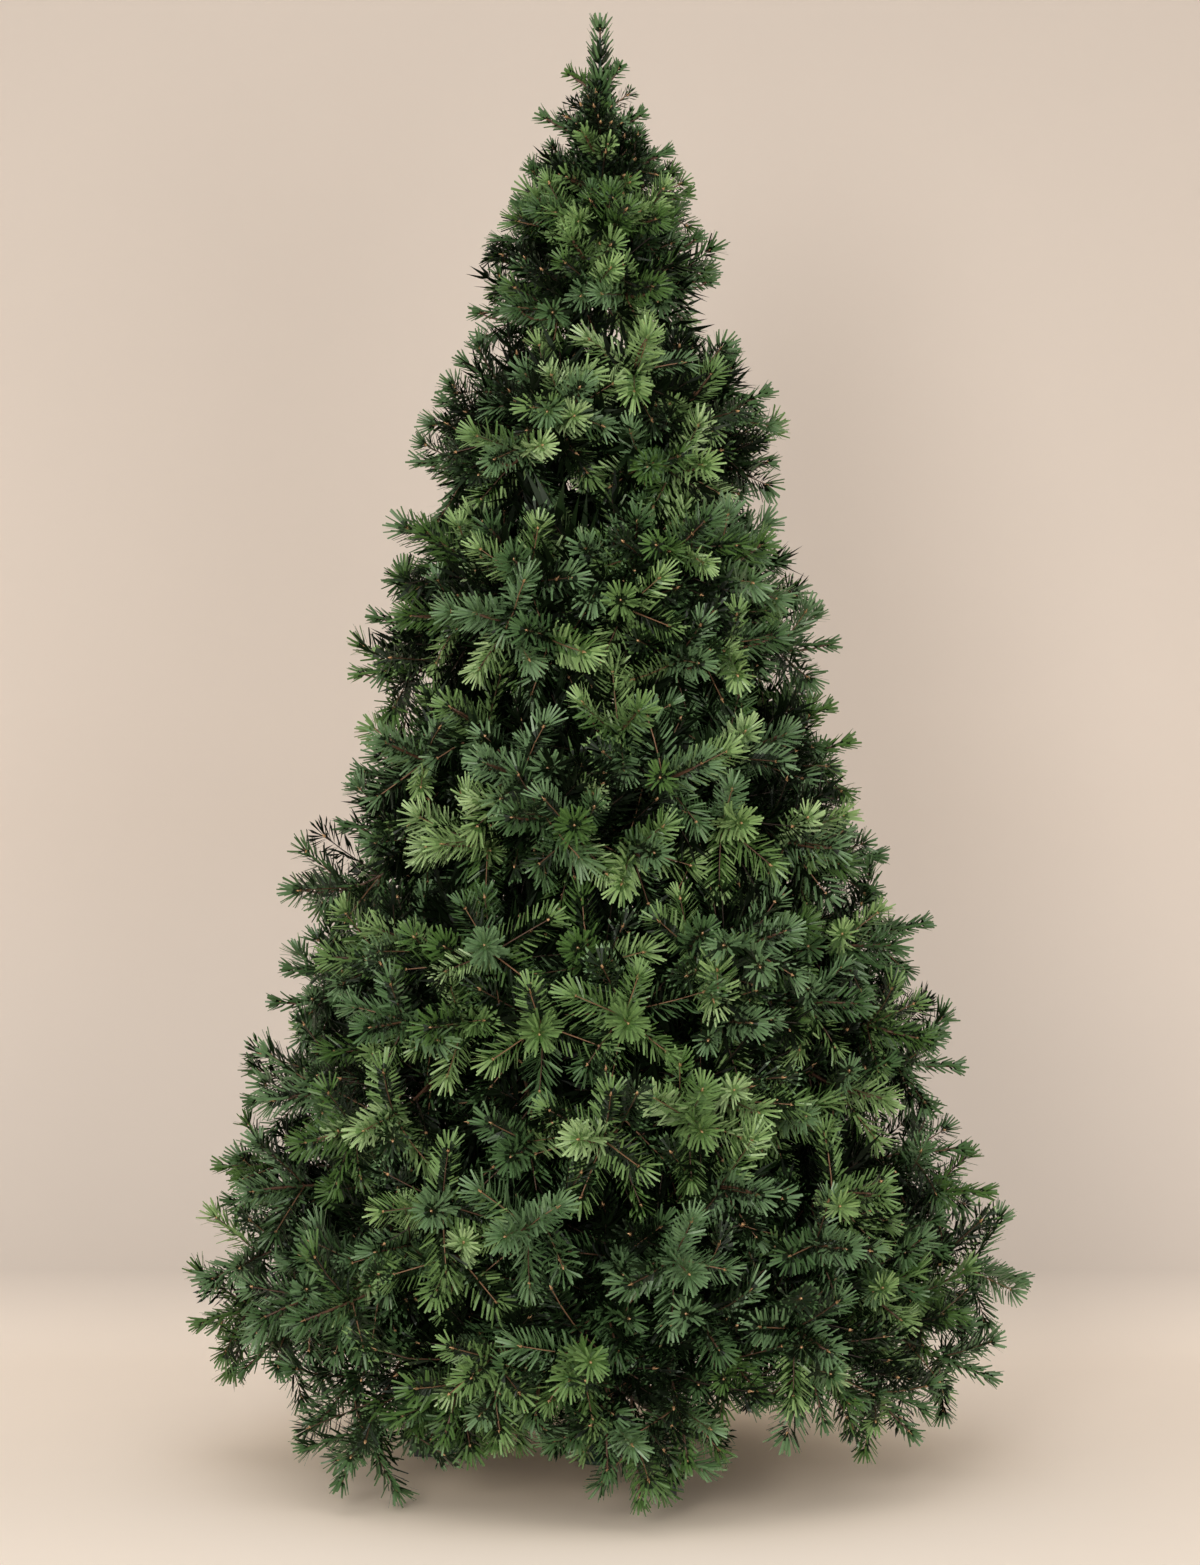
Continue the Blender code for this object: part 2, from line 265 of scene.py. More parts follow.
def tube(route, radii, sides, ridges=0.0, ridge_pitch=0.01, closed=True):
    """The corners and triangles of a tube along a route, with a wound film's ridges if asked."""
    route = np.asarray(route, float)
    tangents = np.gradient(route, axis=0)
    tangents /= np.linalg.norm(tangents, axis=1)[:, None]
    side = square_to(tangents[0], UP if abs(tangents[0][2]) < 0.9 else np.array([1.0, 0, 0]))
    angles = np.arange(sides) * 2.0 * math.pi / sides
    along = np.concatenate([[0.0], np.cumsum(np.linalg.norm(np.diff(route, axis=0), axis=1))])
    rings = []
    for point, tangent, radius, distance in zip(route, tangents, radii, along):
        side = square_to(tangent, side)
        other = np.cross(tangent, side)
        wound = 1.0 + ridges * np.sin(angles + 2.0 * math.pi * distance / ridge_pitch)
        spread = np.outer(np.cos(angles) * wound, side) + np.outer(np.sin(angles) * wound, other)
        rings.append(point + radius * spread)
    return skin(rings, closed)


def turned(profile, sides):
    """The corners and triangles of a solid turned about Z, from reaches and heights."""
    angles = np.arange(sides) * 2.0 * math.pi / sides
    rings = [np.stack([reach * np.cos(angles), reach * np.sin(angles),
                       np.full(sides, height)], axis=1) for reach, height in profile]
    return skin(rings, True)


def skin(rings, closed):
    """The corners and triangles between rings of corners, and over both ends if closed."""
    sides = len(rings[0])
    step = np.arange(sides)
    after = (step + 1) % sides
    faces = []
    for ring in range(len(rings) - 1):
        low, high = ring * sides, (ring + 1) * sides
        faces.append(np.stack([low + step, low + after, high + after], axis=1))
        faces.append(np.stack([low + step, high + after, high + step], axis=1))
    if closed:
        last = (len(rings) - 1) * sides
        fan = np.arange(1, sides - 1)
        faces.append(np.stack([np.zeros_like(fan), fan + 1, fan], axis=1))
        faces.append(np.stack([np.full_like(fan, last), last + fan, last + fan + 1], axis=1))
    return np.concatenate(rings), np.concatenate(faces)


def from_bmesh(shape):
    """The corners and triangles of a bmesh, which is freed."""
    bmesh.ops.triangulate(shape, faces=shape.faces[:])
    shape.verts.index_update()
    corners = np.array([v.co for v in shape.verts])
    faces = np.array([[v.index for v in f.verts] for f in shape.faces])
    shape.free()
    return corners, faces


# Growth

def crown():
    return bpy.context.scene.christmas_tree_crown


def sprigs():
    return bpy.context.scene.christmas_tree_sprigs


def colours():
    return bpy.context.scene.christmas_tree_colours


def stand():
    return bpy.context.scene.christmas_tree_stand


def stage():
    return bpy.context.scene.christmas_tree_stage


def outline(height):
    """The reach of the furthest tips at a height."""
    left = max(0.0, 1.0 - height / TREE_HEIGHT)
    low = max(0.0, 1.0 - height / crown().tuck_height)
    return crown().floor_reach * left ** crown().reach_curve * (1.0 - crown().tuck * low ** 2)


def frame_corners(name):
    """The corners of one of the frame's solids."""
    return np.array([v.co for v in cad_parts[name].data.vertices])


class Limb:
    """A main bough of the frame, from the middle of its root's face to the middle of its tip's."""

    def __init__(self, tier, place):
        self.tier, self.place = tier, place
        self.name = f"{tier}_{place}"
        corners = frame_corners(f"bough_{self.name}")
        middle = corners.mean(axis=0)
        self.heading = math.degrees(math.atan2(middle[0], -middle[1]))
        out = corners @ at(self.heading, 1.0, 0.0)
        self.root = corners[out < out.min() + NEAR].mean(axis=0)
        self.tip = corners[out > out.max() - NEAR].mean(axis=0)
        self.rise = (self.tip[2] - self.root[2]) / float(np.hypot(*self.tip[:2]))


def find_limbs():
    """The frame's main boughs, by tier from the bottom."""
    named = [re.fullmatch(r"bough_(\d+)_(\d+)", name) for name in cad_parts]
    places = sorted((int(m[1]), int(m[2])) for m in named if m)
    tiers = {}
    for tier, place in places:
        tiers.setdefault(tier, []).append(Limb(tier, place))
    return [tiers[tier] for tier in sorted(tiers)]


FIRST_REACH = 0.3  # the first guess of a stem's reach, and how often it is made better
REACH_STEPS = 24
LOWEST_TIPS = 0.10  # the heights between which the slope of the tips changes
HIGHEST_TIPS_BELOW_TOP = 0.05
PITCH_CURVE = 0.55  # power of the share of that height


class Shape:
    """How the stems lie: the tiers' borders at the pole, and the rise of a stem by its level."""

    def __init__(self, tiers):
        levels = [tier[0].root[2] for tier in tiers]
        rises = [tier[0].rise for tier in tiers]
        self.slope, self.start = np.polyfit(levels, rises, 1)
        middles = [(low + high) / 2 for low, high in zip(levels, levels[1:])]
        lowest = levels[0] - (middles[0] - levels[0])
        highest = levels[-1] + (levels[-1] - middles[-1])
        self.borders = [lowest, *middles, highest]

    def rise(self, level):
        return self.start + self.slope * level

    def reach(self, level):
        """Where a stem that leaves the pole at a level meets the outline."""
        reach = FIRST_REACH
        for _ in range(REACH_STEPS):
            reach = (reach + outline(level + self.rise(level) * reach)) / 2
        return reach

    def height(self, level):
        """The height at which a stem that leaves the pole at a level meets the outline."""
        return level + self.rise(level) * self.reach(level)

    def pitch(self, height):
        """The slope of a stem's tip, in radians."""
        span = TREE_HEIGHT - HIGHEST_TIPS_BELOW_TOP - LOWEST_TIPS
        share = min(max((height - LOWEST_TIPS) / span, 0.0), 1.0)
        low, high = crown().lowest_pitch, crown().highest_pitch
        return low + (high - low) * share ** PITCH_CURVE


# Tips that the photograph shows, in its pixels: down the two sides of the outline, and along
# the lower edge with their depth in metres behind the pole and their slope in degrees. They and
# the lower edge below were read off enlarged views and measured outlines of the photograph
LEFT_TIPS = ((500, 195), (478, 243), (460, 300), (445, 350), (425, 390), (400, 450), (390, 520),
             (357, 608), (340, 665), (340, 765), (325, 820), (275, 885), (268, 965), (255, 1000),
             (230, 1100), (200, 1168), (208, 1205), (178, 1330))
RIGHT_TIPS = ((715, 225), (727, 268), (750, 340), (783, 382), (788, 450), (803, 550), (850, 635),
              (848, 700), (868, 735), (865, 790), (900, 850), (945, 920), (960, 1030),
              (978, 1065), (985, 1150), (1010, 1195), (1043, 1285))
LOW_TIPS = ((226, 1387, -0.08, -42.0), (304, 1442, -0.30, -42.0), (331, 1506, -0.39, -56.0),
            (436, 1464, -0.46, -62.0), (494, 1470, -0.48, -60.0), (575, 1464, -0.49, -50.0),
            (608, 1500, -0.50, -72.0), (642, 1527, -0.50, -68.0), (690, 1490, -0.50, -64.0),
            (770, 1406, -0.48, -20.0), (830, 1448, -0.42, -68.0), (928, 1451, -0.33, -36.0),
            (1013, 1384, -0.12, -16.0), (862, 1420, -0.42, -30.0), (535, 1440, -0.50, -45.0),
            (408, 1452, -0.36, -58.0), (712, 1442, -0.42, -50.0), (426, 1468, -0.34, -74.0),
            (452, 1464, -0.30, -78.0), (440, 1472, -0.20, -80.0), (965, 1255, -0.12, -8.0),
            (985, 1322, -0.10, -12.0), (935, 1302, -0.24, -15.0), (262, 1300, -0.20, -12.0))
# The lower edge of the foliage, from left to right
LOW_EDGE = ((180, 1340), (235, 1382), (290, 1385), (320, 1470), (340, 1495), (370, 1470),
            (440, 1462), (490, 1450), (560, 1440), (600, 1490), (640, 1528), (690, 1490),
            (712, 1425), (780, 1395), (825, 1448), (850, 1412), (925, 1450), (960, 1385),
            (1013, 1384), (1035, 1300))
HANGING = 55.0  # how far the side sprigs hang below a stem's tip, in pixels
# Where clusters of bright sprigs lie, read off enlarged views of the photograph
BRIGHT_PLACES = (
    (575, 135), (615, 150), (555, 185), (650, 190), (580, 240), (620, 270), (600, 330),
    (635, 345), (515, 345), (560, 365), (610, 390), (680, 430), (575, 435), (525, 465),
    (460, 465), (730, 470), (610, 465), (465, 505), (680, 510), (540, 540), (485, 565),
    (705, 565), (660, 595), (565, 635), (620, 675), (455, 665), (565, 695), (730, 650),
    (410, 770), (595, 770), (730, 745), (470, 815), (420, 840), (500, 870), (740, 840),
    (735, 880), (675, 875), (610, 875), (830, 810), (865, 930), (665, 960), (730, 990),
    (610, 995), (440, 985), (360, 910), (390, 1050), (430, 1075), (475, 1065), (660, 1010),
    (755, 1090), (675, 1105), (570, 1160), (800, 1065), (885, 1120), (730, 1140), (355, 1145),
    (420, 1175), (380, 1210), (455, 1245), (620, 1210), (820, 1230), (875, 1280), (355, 1300),
    (905, 1345), (430, 1380), (435, 1425), (820, 1390))
BRIGHT_RADIUS = 27.0  # of a cluster, in pixels
BRIGHT_CHANCE = 0.26  # of a sprig that the photograph doesn't show
EDGE_CHANCE = 0.08  # of a sprig on the outline's two sides
# A stem's depth behind the pole over its distance to the side, where those sides begin and end
SIDES_BEGIN = -0.15
SIDES_END = 0.30


def from_photo(column, row, depth):
    """The point of the tree that the photograph shows in a pixel, at a depth behind the pole."""
    scale = (stage().camera_distance + depth) / stage().focal_pixels
    middle = PHOTO_SIZE[0] / 2
    height = stage().camera_height - (row - stage().horizon_row) * scale
    return np.array([(column - middle) * scale, depth, height])


def in_photo(point):
    """The pixel of the photograph that shows a point of the tree."""
    scale = (stage().camera_distance + point[1]) / stage().focal_pixels
    column = PHOTO_SIZE[0] / 2 + point[0] / scale
    return column, stage().horizon_row + (stage().camera_height - point[2]) / scale


def seen_bright(point, tip, rng):
    """Whether a sprig is one of the bright ones: where the photograph shows them, or by chance."""
    sideways = abs(tip[0])
    if tip[1] > SIDES_BEGIN * sideways:
        behind = tip[1] > SIDES_END * sideways
        return rng.random() < (BRIGHT_CHANCE if behind else EDGE_CHANCE)
    column, row = in_photo(point)
    nearest = min(math.hypot(column - x, row - y) for x, y in BRIGHT_PLACES)
    return nearest < BRIGHT_RADIUS


def above_edge(end):
    """A tip in front, moved up where it would hang below the photograph's lower edge."""
    column, row = in_photo(end)
    lowest = np.interp(column, *zip(*LOW_EDGE)) - HANGING
    if end[1] > 0.0 or row < lowest:
        return end
    return from_photo(column, lowest, end[1])


def measured_tips(shape):
    """The tips that the photograph shows: where each one ends and its slope in radians."""
    tips = []
    for column, row in LEFT_TIPS + RIGHT_TIPS:
        end = from_photo(column, row, 0.0)
        tips.append((end, shape.pitch(end[2])))
    for column, row, depth, slope in LOW_TIPS:
        tips.append((from_photo(column, row, depth), math.radians(slope)))
    return tips


class Stem:
    """A side branch: its route out to its tip, the size of its sprigs, and whether its tip is
    one that stands out at the edge of the photograph's tree."""

    def __init__(self, route, scale, edge=False):
        self.route, self.scale, self.edge = route, scale, edge
        steps = np.linalg.norm(np.diff(route, axis=0), axis=1)
        self.along = np.concatenate([[0.0], np.cumsum(steps)])
        self.length = float(self.along[-1])

    def place(self, from_tip):
        """The point and the direction of growth at a distance back from the tip."""
        where = max(self.length - from_tip, 0.0)
        point = np.array([np.interp(where, self.along, self.route[:, k]) for k in range(3)])
        index = min(max(int(np.searchsorted(self.along, where)), 1), len(self.along) - 1)
        return point, unit(self.route[index] - self.route[index - 1])


class Sprig:
    """A twig with needles: its build, where it leaves its stem, which way it points, its tint."""

    def __init__(self, build, base, aim, stalk, length, tone, bend=0.0, girth=1.0, up=UP):
        self.build, self.base, self.direction = build, base, unit(aim)
        self.up = square_to(self.direction, up)
        self.stalk, self.length = stalk, length
        self.tone, self.bend, self.girth = tone, bend, girth


NEEDLE_COLOURS = ("night_green", "deep_green", "blue_green", "slate_green", "forest_green",
                  "leaf_green", "bright_green", "tip_green")
# Pairs of tints by their place in that list: at a needle's foot, at its end, and how often the
# pair comes among the dark sprigs, the bright ones, those behind them, and so on
DARK_TONES = ((1, 2, 0.25), (1, 3, 0.25), (2, 3, 0.14), (1, 4, 0.14), (1, 5, 0.14), (4, 5, 0.08))
BRIGHT_TONES = ((4, 6, 0.40), (5, 6, 0.25), (5, 7, 0.35))
# Dim pairs for sprigs within the crown: painted shade.
INNER_SHADE_TONES = ((0, 1, 0.6), (1, 2, 0.4))
# Darker pairs for the sprigs on the outline's sides and lower edge and for those high up: painted
# shade.
SHADED_EDGE_TONES = ((1, 2, 0.4), (1, 4, 0.3), (0, 2, 0.3))
HIGH_BRIGHT_TONES = ((1, 5, 0.3), (4, 5, 0.3), (4, 6, 0.4))
# Near-black pairs for the inner sprays of foil: painted shade.
PAINTED_SHADE_TONES = ((0, 0, 0.8), (0, 1, 0.2))
HIGH = 1.68  # above this the tints are darker, because less of the tree shades its sprigs
INNER_SHADE_SHARE = 0.65  # of the second whorls' sprigs that are dim: painted shade deeper in the crown


def pick_tone(rng, tones):
    """One pair of tints by chance."""
    shares = np.array([tone[2] for tone in tones])
    return tones[rng.choice(len(tones), p=shares / shares.sum())][:2]


STEM_POINTS = 9


def bent_route(start, end, arrival, swing):
    """A route from a start that swings round to arrive at its end in a given direction."""
    turn = end - arrival * float(np.linalg.norm(end - start)) * swing
    share = np.linspace(0.0, 1.0, STEM_POINTS)[:, None]
    return (1 - share) ** 2 * start + 2 * share * (1 - share) * turn + share ** 2 * end


NEEDLE_OVERHANG = 0.035  # how far the needles of a sprig reach past its twig
SMALLEST_SPRIGS = 0.84
FULL_SPRIG_DEPTH = 0.75  # below the top of the tree, from where sprigs have their full size


def sprig_scale(height):
    """The size of the sprigs at a height, as a share of the full one."""
    share = min(1.0, (TREE_HEIGHT - height) / FULL_SPRIG_DEPTH)
    return SMALLEST_SPRIGS + (1.0 - SMALLEST_SPRIGS) * share


ROW_STRAY = 0.32  # how far a tip strays from its row, in rows
COLUMN_STRAY = 0.25  # and from its column, in columns
FURTHEST_TIPS = 0.97  # of the outline's reach
TIP_CROWDING = 1.5  # power that crowds the tips towards the outline
PITCH_STRAY = 9.0  # of a tip's slope, in degrees
HEADING_STRAY = 8.0  # of a tip's heading, in degrees
STEM_STARTS = (-0.35, 0.45)  # past the end of the main bough, in its lengths
STEM_SWING = 0.42  # where a stem's bend lies back from its tip, as a share of its span
SNAP_REACH = 0.75  # how far a place moves to a tip in the photograph, in tip spacings
# Hanging stems under a mass of the lowest tier: how many in a row, their tips' least and greatest
# reach, their least and greatest height, and their steepest slope
SKIRT_ROWS = ((4, 0.24, 0.42, 0.14, 0.21, -70.0), (3, 0.38, 0.52, 0.20, 0.30, -45.0))
SKIRT_STRAY = (0.2, 0.8)  # across a hanging stem's share of its row
SKIRT_FLATTEST = -25.0  # their flattest slope, in degrees


def turn_between(one, other):
    """The angle in degrees from one heading to another, the short way round."""
    return (other - one + 180.0) % 360.0 - 180.0


def plan_tips(limb, count, shape, rng):
    """Where the stems of one mass end, their slopes, and whether they stand out at the edge: a
    jittered grid over its share of the outline. Its places near the tips in the photograph move
    onto them, and a tip with no place near it is one more."""
    low, high = shape.borders[limb.tier - 1], shape.borders[limb.tier]
    bottom, top = shape.height(low), shape.height(high)
    slant = math.hypot(top - bottom, shape.reach(low) - shape.reach(high))
    spacing = crown().tip_spacing * sprig_scale(bottom)
    rows = max(2, round(slant / spacing))
    columns = max(3, round(2 * math.pi * shape.reach((low + high) / 2) / count / spacing))
    tips = []
    for row in range(rows):
        for column in range(columns):
            stray = rng.uniform(-ROW_STRAY, ROW_STRAY)
            level = low + (high - low) * (row + 0.5 + stray) / rows
            stray = rng.uniform(-COLUMN_STRAY, COLUMN_STRAY)
            across = (column + 0.25 + 0.5 * (row % 2) + stray) / columns
            heading = limb.heading + (across - 0.5) * 360.0 / count
            depth = rng.random() ** TIP_CROWDING
            reach = shape.reach(level) * (FURTHEST_TIPS - crown().tip_depth * depth)
            height = shape.height(level)
            pitch = shape.pitch(height) + rng.normal(0.0, math.radians(PITCH_STRAY))
            tips.append((above_edge(at(heading, reach, height)), pitch, False))
    if limb.tier == 1:
        for number, near, far, lowest, highest, steepest in SKIRT_ROWS:
            for column in range(number):
                across = (column + rng.uniform(*SKIRT_STRAY)) / number
                heading = limb.heading + (across - 0.5) * 360.0 / count
                end = at(heading, rng.uniform(near, far), rng.uniform(lowest, highest))
                pitch = math.radians(rng.uniform(steepest, SKIRT_FLATTEST))
                tips.append((above_edge(end), pitch, False))
    taken = set()
    for end, pitch in measured_tips(shape):
        heading = math.degrees(math.atan2(end[0], -end[1]))
        lowest = limb.tier == 1 and end[2] < top
        in_tier = lowest or bottom <= end[2] < top
        if in_tier and abs(turn_between(limb.heading, heading)) <= 180.0 / count:
            free = [k for k in range(len(tips)) if k not in taken]
            nearest = min(free, key=lambda k: np.linalg.norm(tips[k][0] - end))
            if np.linalg.norm(tips[nearest][0] - end) > SNAP_REACH * spacing:
                nearest = len(tips)
                tips.append(None)
            tips[nearest] = (end, pitch, True)
            taken.add(nearest)
    return tips


def grow_stems(limb, count, shape):
    """The stems of one mass, from its main bough to their tips."""
    rng = np.random.default_rng([crown().seed, limb.tier, limb.place])
    stems = []
    for end, pitch, edge in plan_tips(limb, count, shape, rng):
        heading = math.degrees(math.atan2(end[0], -end[1])) + rng.normal(0.0, HEADING_STRAY)
        arrival = aimed(heading, pitch)
        start = limb.tip + (limb.tip - limb.root) * rng.uniform(*STEM_STARTS)
        route = bent_route(start, end - arrival * NEEDLE_OVERHANG, arrival, STEM_SWING)
        stems.append(Stem(route, sprig_scale(end[2]), edge))
    return stems


# A stem's whorls: their build, how far behind the tip in sprig lengths, how many, how much wider
# than the first they open in degrees, their bare stalk, and their length
WHORLS = (
    ("flat", 0.82, 4, 2.0, 0.002, 0.94),
    ("thin", 1.32, 4, 8.0, 0.020, 0.96),
    ("foil", 1.70, 4, 22.0, 0.012, 0.85),
    ("foil", 2.05, 4, 30.0, 0.024, 0.85),
)
AROUND_STRAY = 0.26  # of a side sprig's place round the stem, in radians
ANGLE_STRAY = 8.0  # of its angle to the stem, in degrees
LENGTHS = (0.80, 1.06)  # of side sprigs, as shares of their whorl's
STALKS = (0.7, 1.4)  # of their bare stalks, as shares of their whorl's
SAG = -0.8  # the usual bend of a side sprig, and how far it strays
SAG_STRAY = 1.0
FACE_STRAY = 0.3  # how far the front of a side sprig turns away from the stem's tip
LEVEL_AIM = 0.55  # the share of the tree's height where side sprigs turn neither up nor down
LIFT = 0.5
EDGE_GIRTH = 1.1  # of the single sprigs that stand out at the edge
HAND_TONE_SHARE = 0.6  # of the sprigs at a stem's end that share one tone
FOIL_STEP = 0.021  # between the inner sprays of foil along a stem
FOIL_TURN = 2.4  # round the stem or bough from one of them to the next, in radians
FOIL_START = 2.4  # where they begin behind the tip, in sprig lengths
SHORT_STEM = 0.30  # a stem under this length carries foil nearly to its end
SHORT_FOIL_START = 1.0
FOIL_LEANS = (0.1, 0.9)  # how strongly a spray of foil leans along its stem
FOIL_STALKS = (0.0, 0.3)  # its bare stalk, in its lengths
FOIL_REACH = 0.87  # of the outline, inside which inner sprays stay
LOWEST_ROOM = 0.12  # the height below which the outline's reach counts as that at this height
SMALLEST_FOIL = 0.045
SHALLOW_FOIL = 0.070  # inner sprays under this length lie near the outline and may be seen
BARE_START = 0.03  # the stretch of a stem that carries nothing
BARE_END = 0.01


def sprig_tone(build, stem, point, rng, hand=None):
    """The tints of a sprig: bright in the photograph's bright clusters, dark within the crown as
    painted shade, and often those of the other dark sprigs at the stem's end."""
    if build == "foil":
        return pick_tone(rng, PAINTED_SHADE_TONES)
    if build == "thin":
        return pick_tone(rng, INNER_SHADE_TONES if rng.random() < INNER_SHADE_SHARE else DARK_TONES)
    high = point[2] > HIGH
    if not stem.edge and seen_bright(point, stem.route[-1], rng):
        return pick_tone(rng, HIGH_BRIGHT_TONES if high else BRIGHT_TONES)
    if hand and rng.random() < HAND_TONE_SHARE:
        return hand
    return pick_tone(rng, SHADED_EDGE_TONES if high else DARK_TONES)


def grow_sprigs(stem, rng, whorls=None):
    """The sprigs of one stem: its end, the whorls behind it, and sprays of foil further in."""
    sizes = sprigs()
    length = sizes.length * stem.scale
    end, direction = stem.place(0.0)
    base, _ = stem.place(length)
    hand = pick_tone(rng, SHADED_EDGE_TONES if stem.edge or end[2] > HIGH else DARK_TONES)
    build = "spire" if stem.edge else "ridged"
    tone = hand if stem.edge else sprig_tone(build, stem, end, rng, hand)
    girth = EDGE_GIRTH if stem.edge else 1.0
    grown = [Sprig(build, base, end - base, 0.0, float(np.linalg.norm(end - base)), tone,
                   girth=girth)]
    roll = rng.uniform(0.0, 2.0 * math.pi)
    for build, back, number, wider, stalk, share in whorls or WHORLS:
        back *= length
        if back > stem.length - BARE_END:
            break
        point, direction = stem.place(back)
        side = square_to(direction, UP)
        for turn in range(number):
            around = roll + 2.0 * math.pi * turn / number + rng.normal(0.0, AROUND_STRAY)
            outward = turned_about(side, direction, around)
            angle = sizes.whorl_angle + math.radians(wider + rng.normal(0.0, ANGLE_STRAY))
            aim = unit(direction * math.cos(angle) + outward * math.sin(angle)
                       + UP * lift(point))
            long = length * share * rng.uniform(*LENGTHS)
            if build == "foil":
                long = min(long, foil_room(point))
            tone = sprig_tone(build, stem, point + aim * long, rng, hand)
            if build == "foil" and long < SHALLOW_FOIL:
                tone = pick_tone(rng, SHADED_EDGE_TONES)
            bend = rng.normal(SAG, SAG_STRAY)
            bare = stalk * rng.uniform(*STALKS)
            face = direction + FACE_STRAY * rng.normal(0.0, 1.0, 3)
            grown.append(Sprig(build, point, aim, bare, long, tone, bend, up=face))
        roll += math.pi / number
    back = length * (FOIL_START if stem.length > SHORT_STEM else SHORT_FOIL_START)
    while back < stem.length - BARE_START:
        point, direction = stem.place(back)
        outward = turned_about(square_to(direction, UP), direction, roll)
        aim = direction * rng.uniform(*FOIL_LEANS) + outward
        # The inner sprays are near-black: painted shade.
        tone = pick_tone(rng, PAINTED_SHADE_TONES)
        inside = min(length, foil_room(point))
        grown.append(Sprig("foil", point, aim, rng.uniform(*FOIL_STALKS) * inside, inside, tone))
        roll += FOIL_TURN
        back += FOIL_STEP
    return grown


def foil_room(point, reach=FOIL_REACH):
    """How long an inner spray may be without showing outside a share of the crown's outline."""
    room = outline(max(point[2], LOWEST_ROOM)) * reach - float(np.hypot(point[0], point[1]))
    return max(room, SMALLEST_FOIL)


def lift(point):
    """How strongly side sprigs turn up near the top of the tree, and down near the floor."""
    return (point[2] / TREE_HEIGHT - LEVEL_AIM) * LIFT


# Needles

FLAT_FACES = ((0, 2, 1), (1, 2, 4), (1, 4, 3))
RIDGED_FACES = ((0, 2, 1), (0, 3, 2), (1, 2, 4), (2, 5, 4), (2, 3, 5))
LEAN_FACES = ((0, 2, 1), (1, 2, 3))
# The rows of needles to each side of a twig: how many, how many degrees round from the front of
# the sprig they stand, and how far they stray from that
ROUND_ROWS = ((12, 30, 12), (13, 90, 12), (12, 150, 12))
COMB_ROWS = ((14, 82, 7), (9, 116, 10), (6, 155, 14), (5, 50, 10))
LOOSE_ROWS = ((10, 85, 12), (7, 130, 18), (5, 40, 14))
FOIL_ROWS = ((6, 30, 25), (6, 90, 25), (5, 150, 25))
SPIRE_ROWS = ((7, 38, 12), (11, 86, 10), (7, 140, 12))
BACK_ROW = 100  # degrees from where the needles of a comb are dark to their ends: painted shade on its back rows
NEEDLE_BUILDS = {
    # The corners that a needle keeps, its faces, how many of them take the foot's colour, the
    # rows, the needles of the end fan, their width and length, and their opening at the twig's
    # foot and near its end in degrees
    "ridged": ((0, 1, 2, 3, 4, 5), RIDGED_FACES, 2, ROUND_ROWS, 18, 1.0, 1.0, 74, 58),
    "spire": ((0, 1, 2, 3, 4, 5), RIDGED_FACES, 2, SPIRE_ROWS, 9, 0.95, 0.72, 56, 40),
    "flat": ((0, 1, 3, 4, 5), FLAT_FACES, 1, COMB_ROWS, 18, 0.96, 1.0, 74, 60),
    "thin": ((0, 7, 8, 6), LEAN_FACES, 1, LOOSE_ROWS, 14, 1.05, 1.0, 74, 60),
    "foil": ((0, 1, 3, 6), LEAN_FACES, 1, FOIL_ROWS, 0, 1.5, 1.25, 72, 45),
}
PATTERNS = 12  # different sets of needles for each build of sprig
ROW_SPAN = 0.97  # of a twig that its rows of needles take
PLACE_STRAY = (0.25, 0.75)  # of a needle in its share of the row
FAN_PLACES = (0.96, 1.0)  # of the end fan's needles along the twig
FAN_TURN = 2.39996  # from one of them to the next, in radians
FAN_TURN_STRAY = 0.1
FAN_SPREAD = 8.0  # how much wider the fan opens than the last needles, in degrees
FAN_FIRST = 3.0  # the innermost needle's place, so that the bud between them shows
OPENING_STRAY = 0.06  # of a needle's opening, in radians
NEEDLE_LENGTHS = (0.90, 1.06)  # as shares of the build's own
END_SHORTENING = 0.10  # of the needles near a twig's end
FOOT_SHORTENING = 0.16  # of those in the first part of it
FOOT_PARTS = 6.0  # how many such parts a twig has
ROLL_STRAY = 0.5  # round a needle's own length, in radians
CURLS = (0.10, 0.34)  # how far a needle's end curls forward, in its lengths
BROADEST = 0.36  # where a needle is broadest, in its lengths, and its share of the curl there
BROADEST_CURL = 0.13
SHOULDER = 0.80  # where its end begins to narrow, and its share of the curl there
SHOULDER_CURL = 0.64
SPINE = 0.40  # the height of its raised spine, in widths
BLUNT_END = 0.62  # the width of its end, in widths


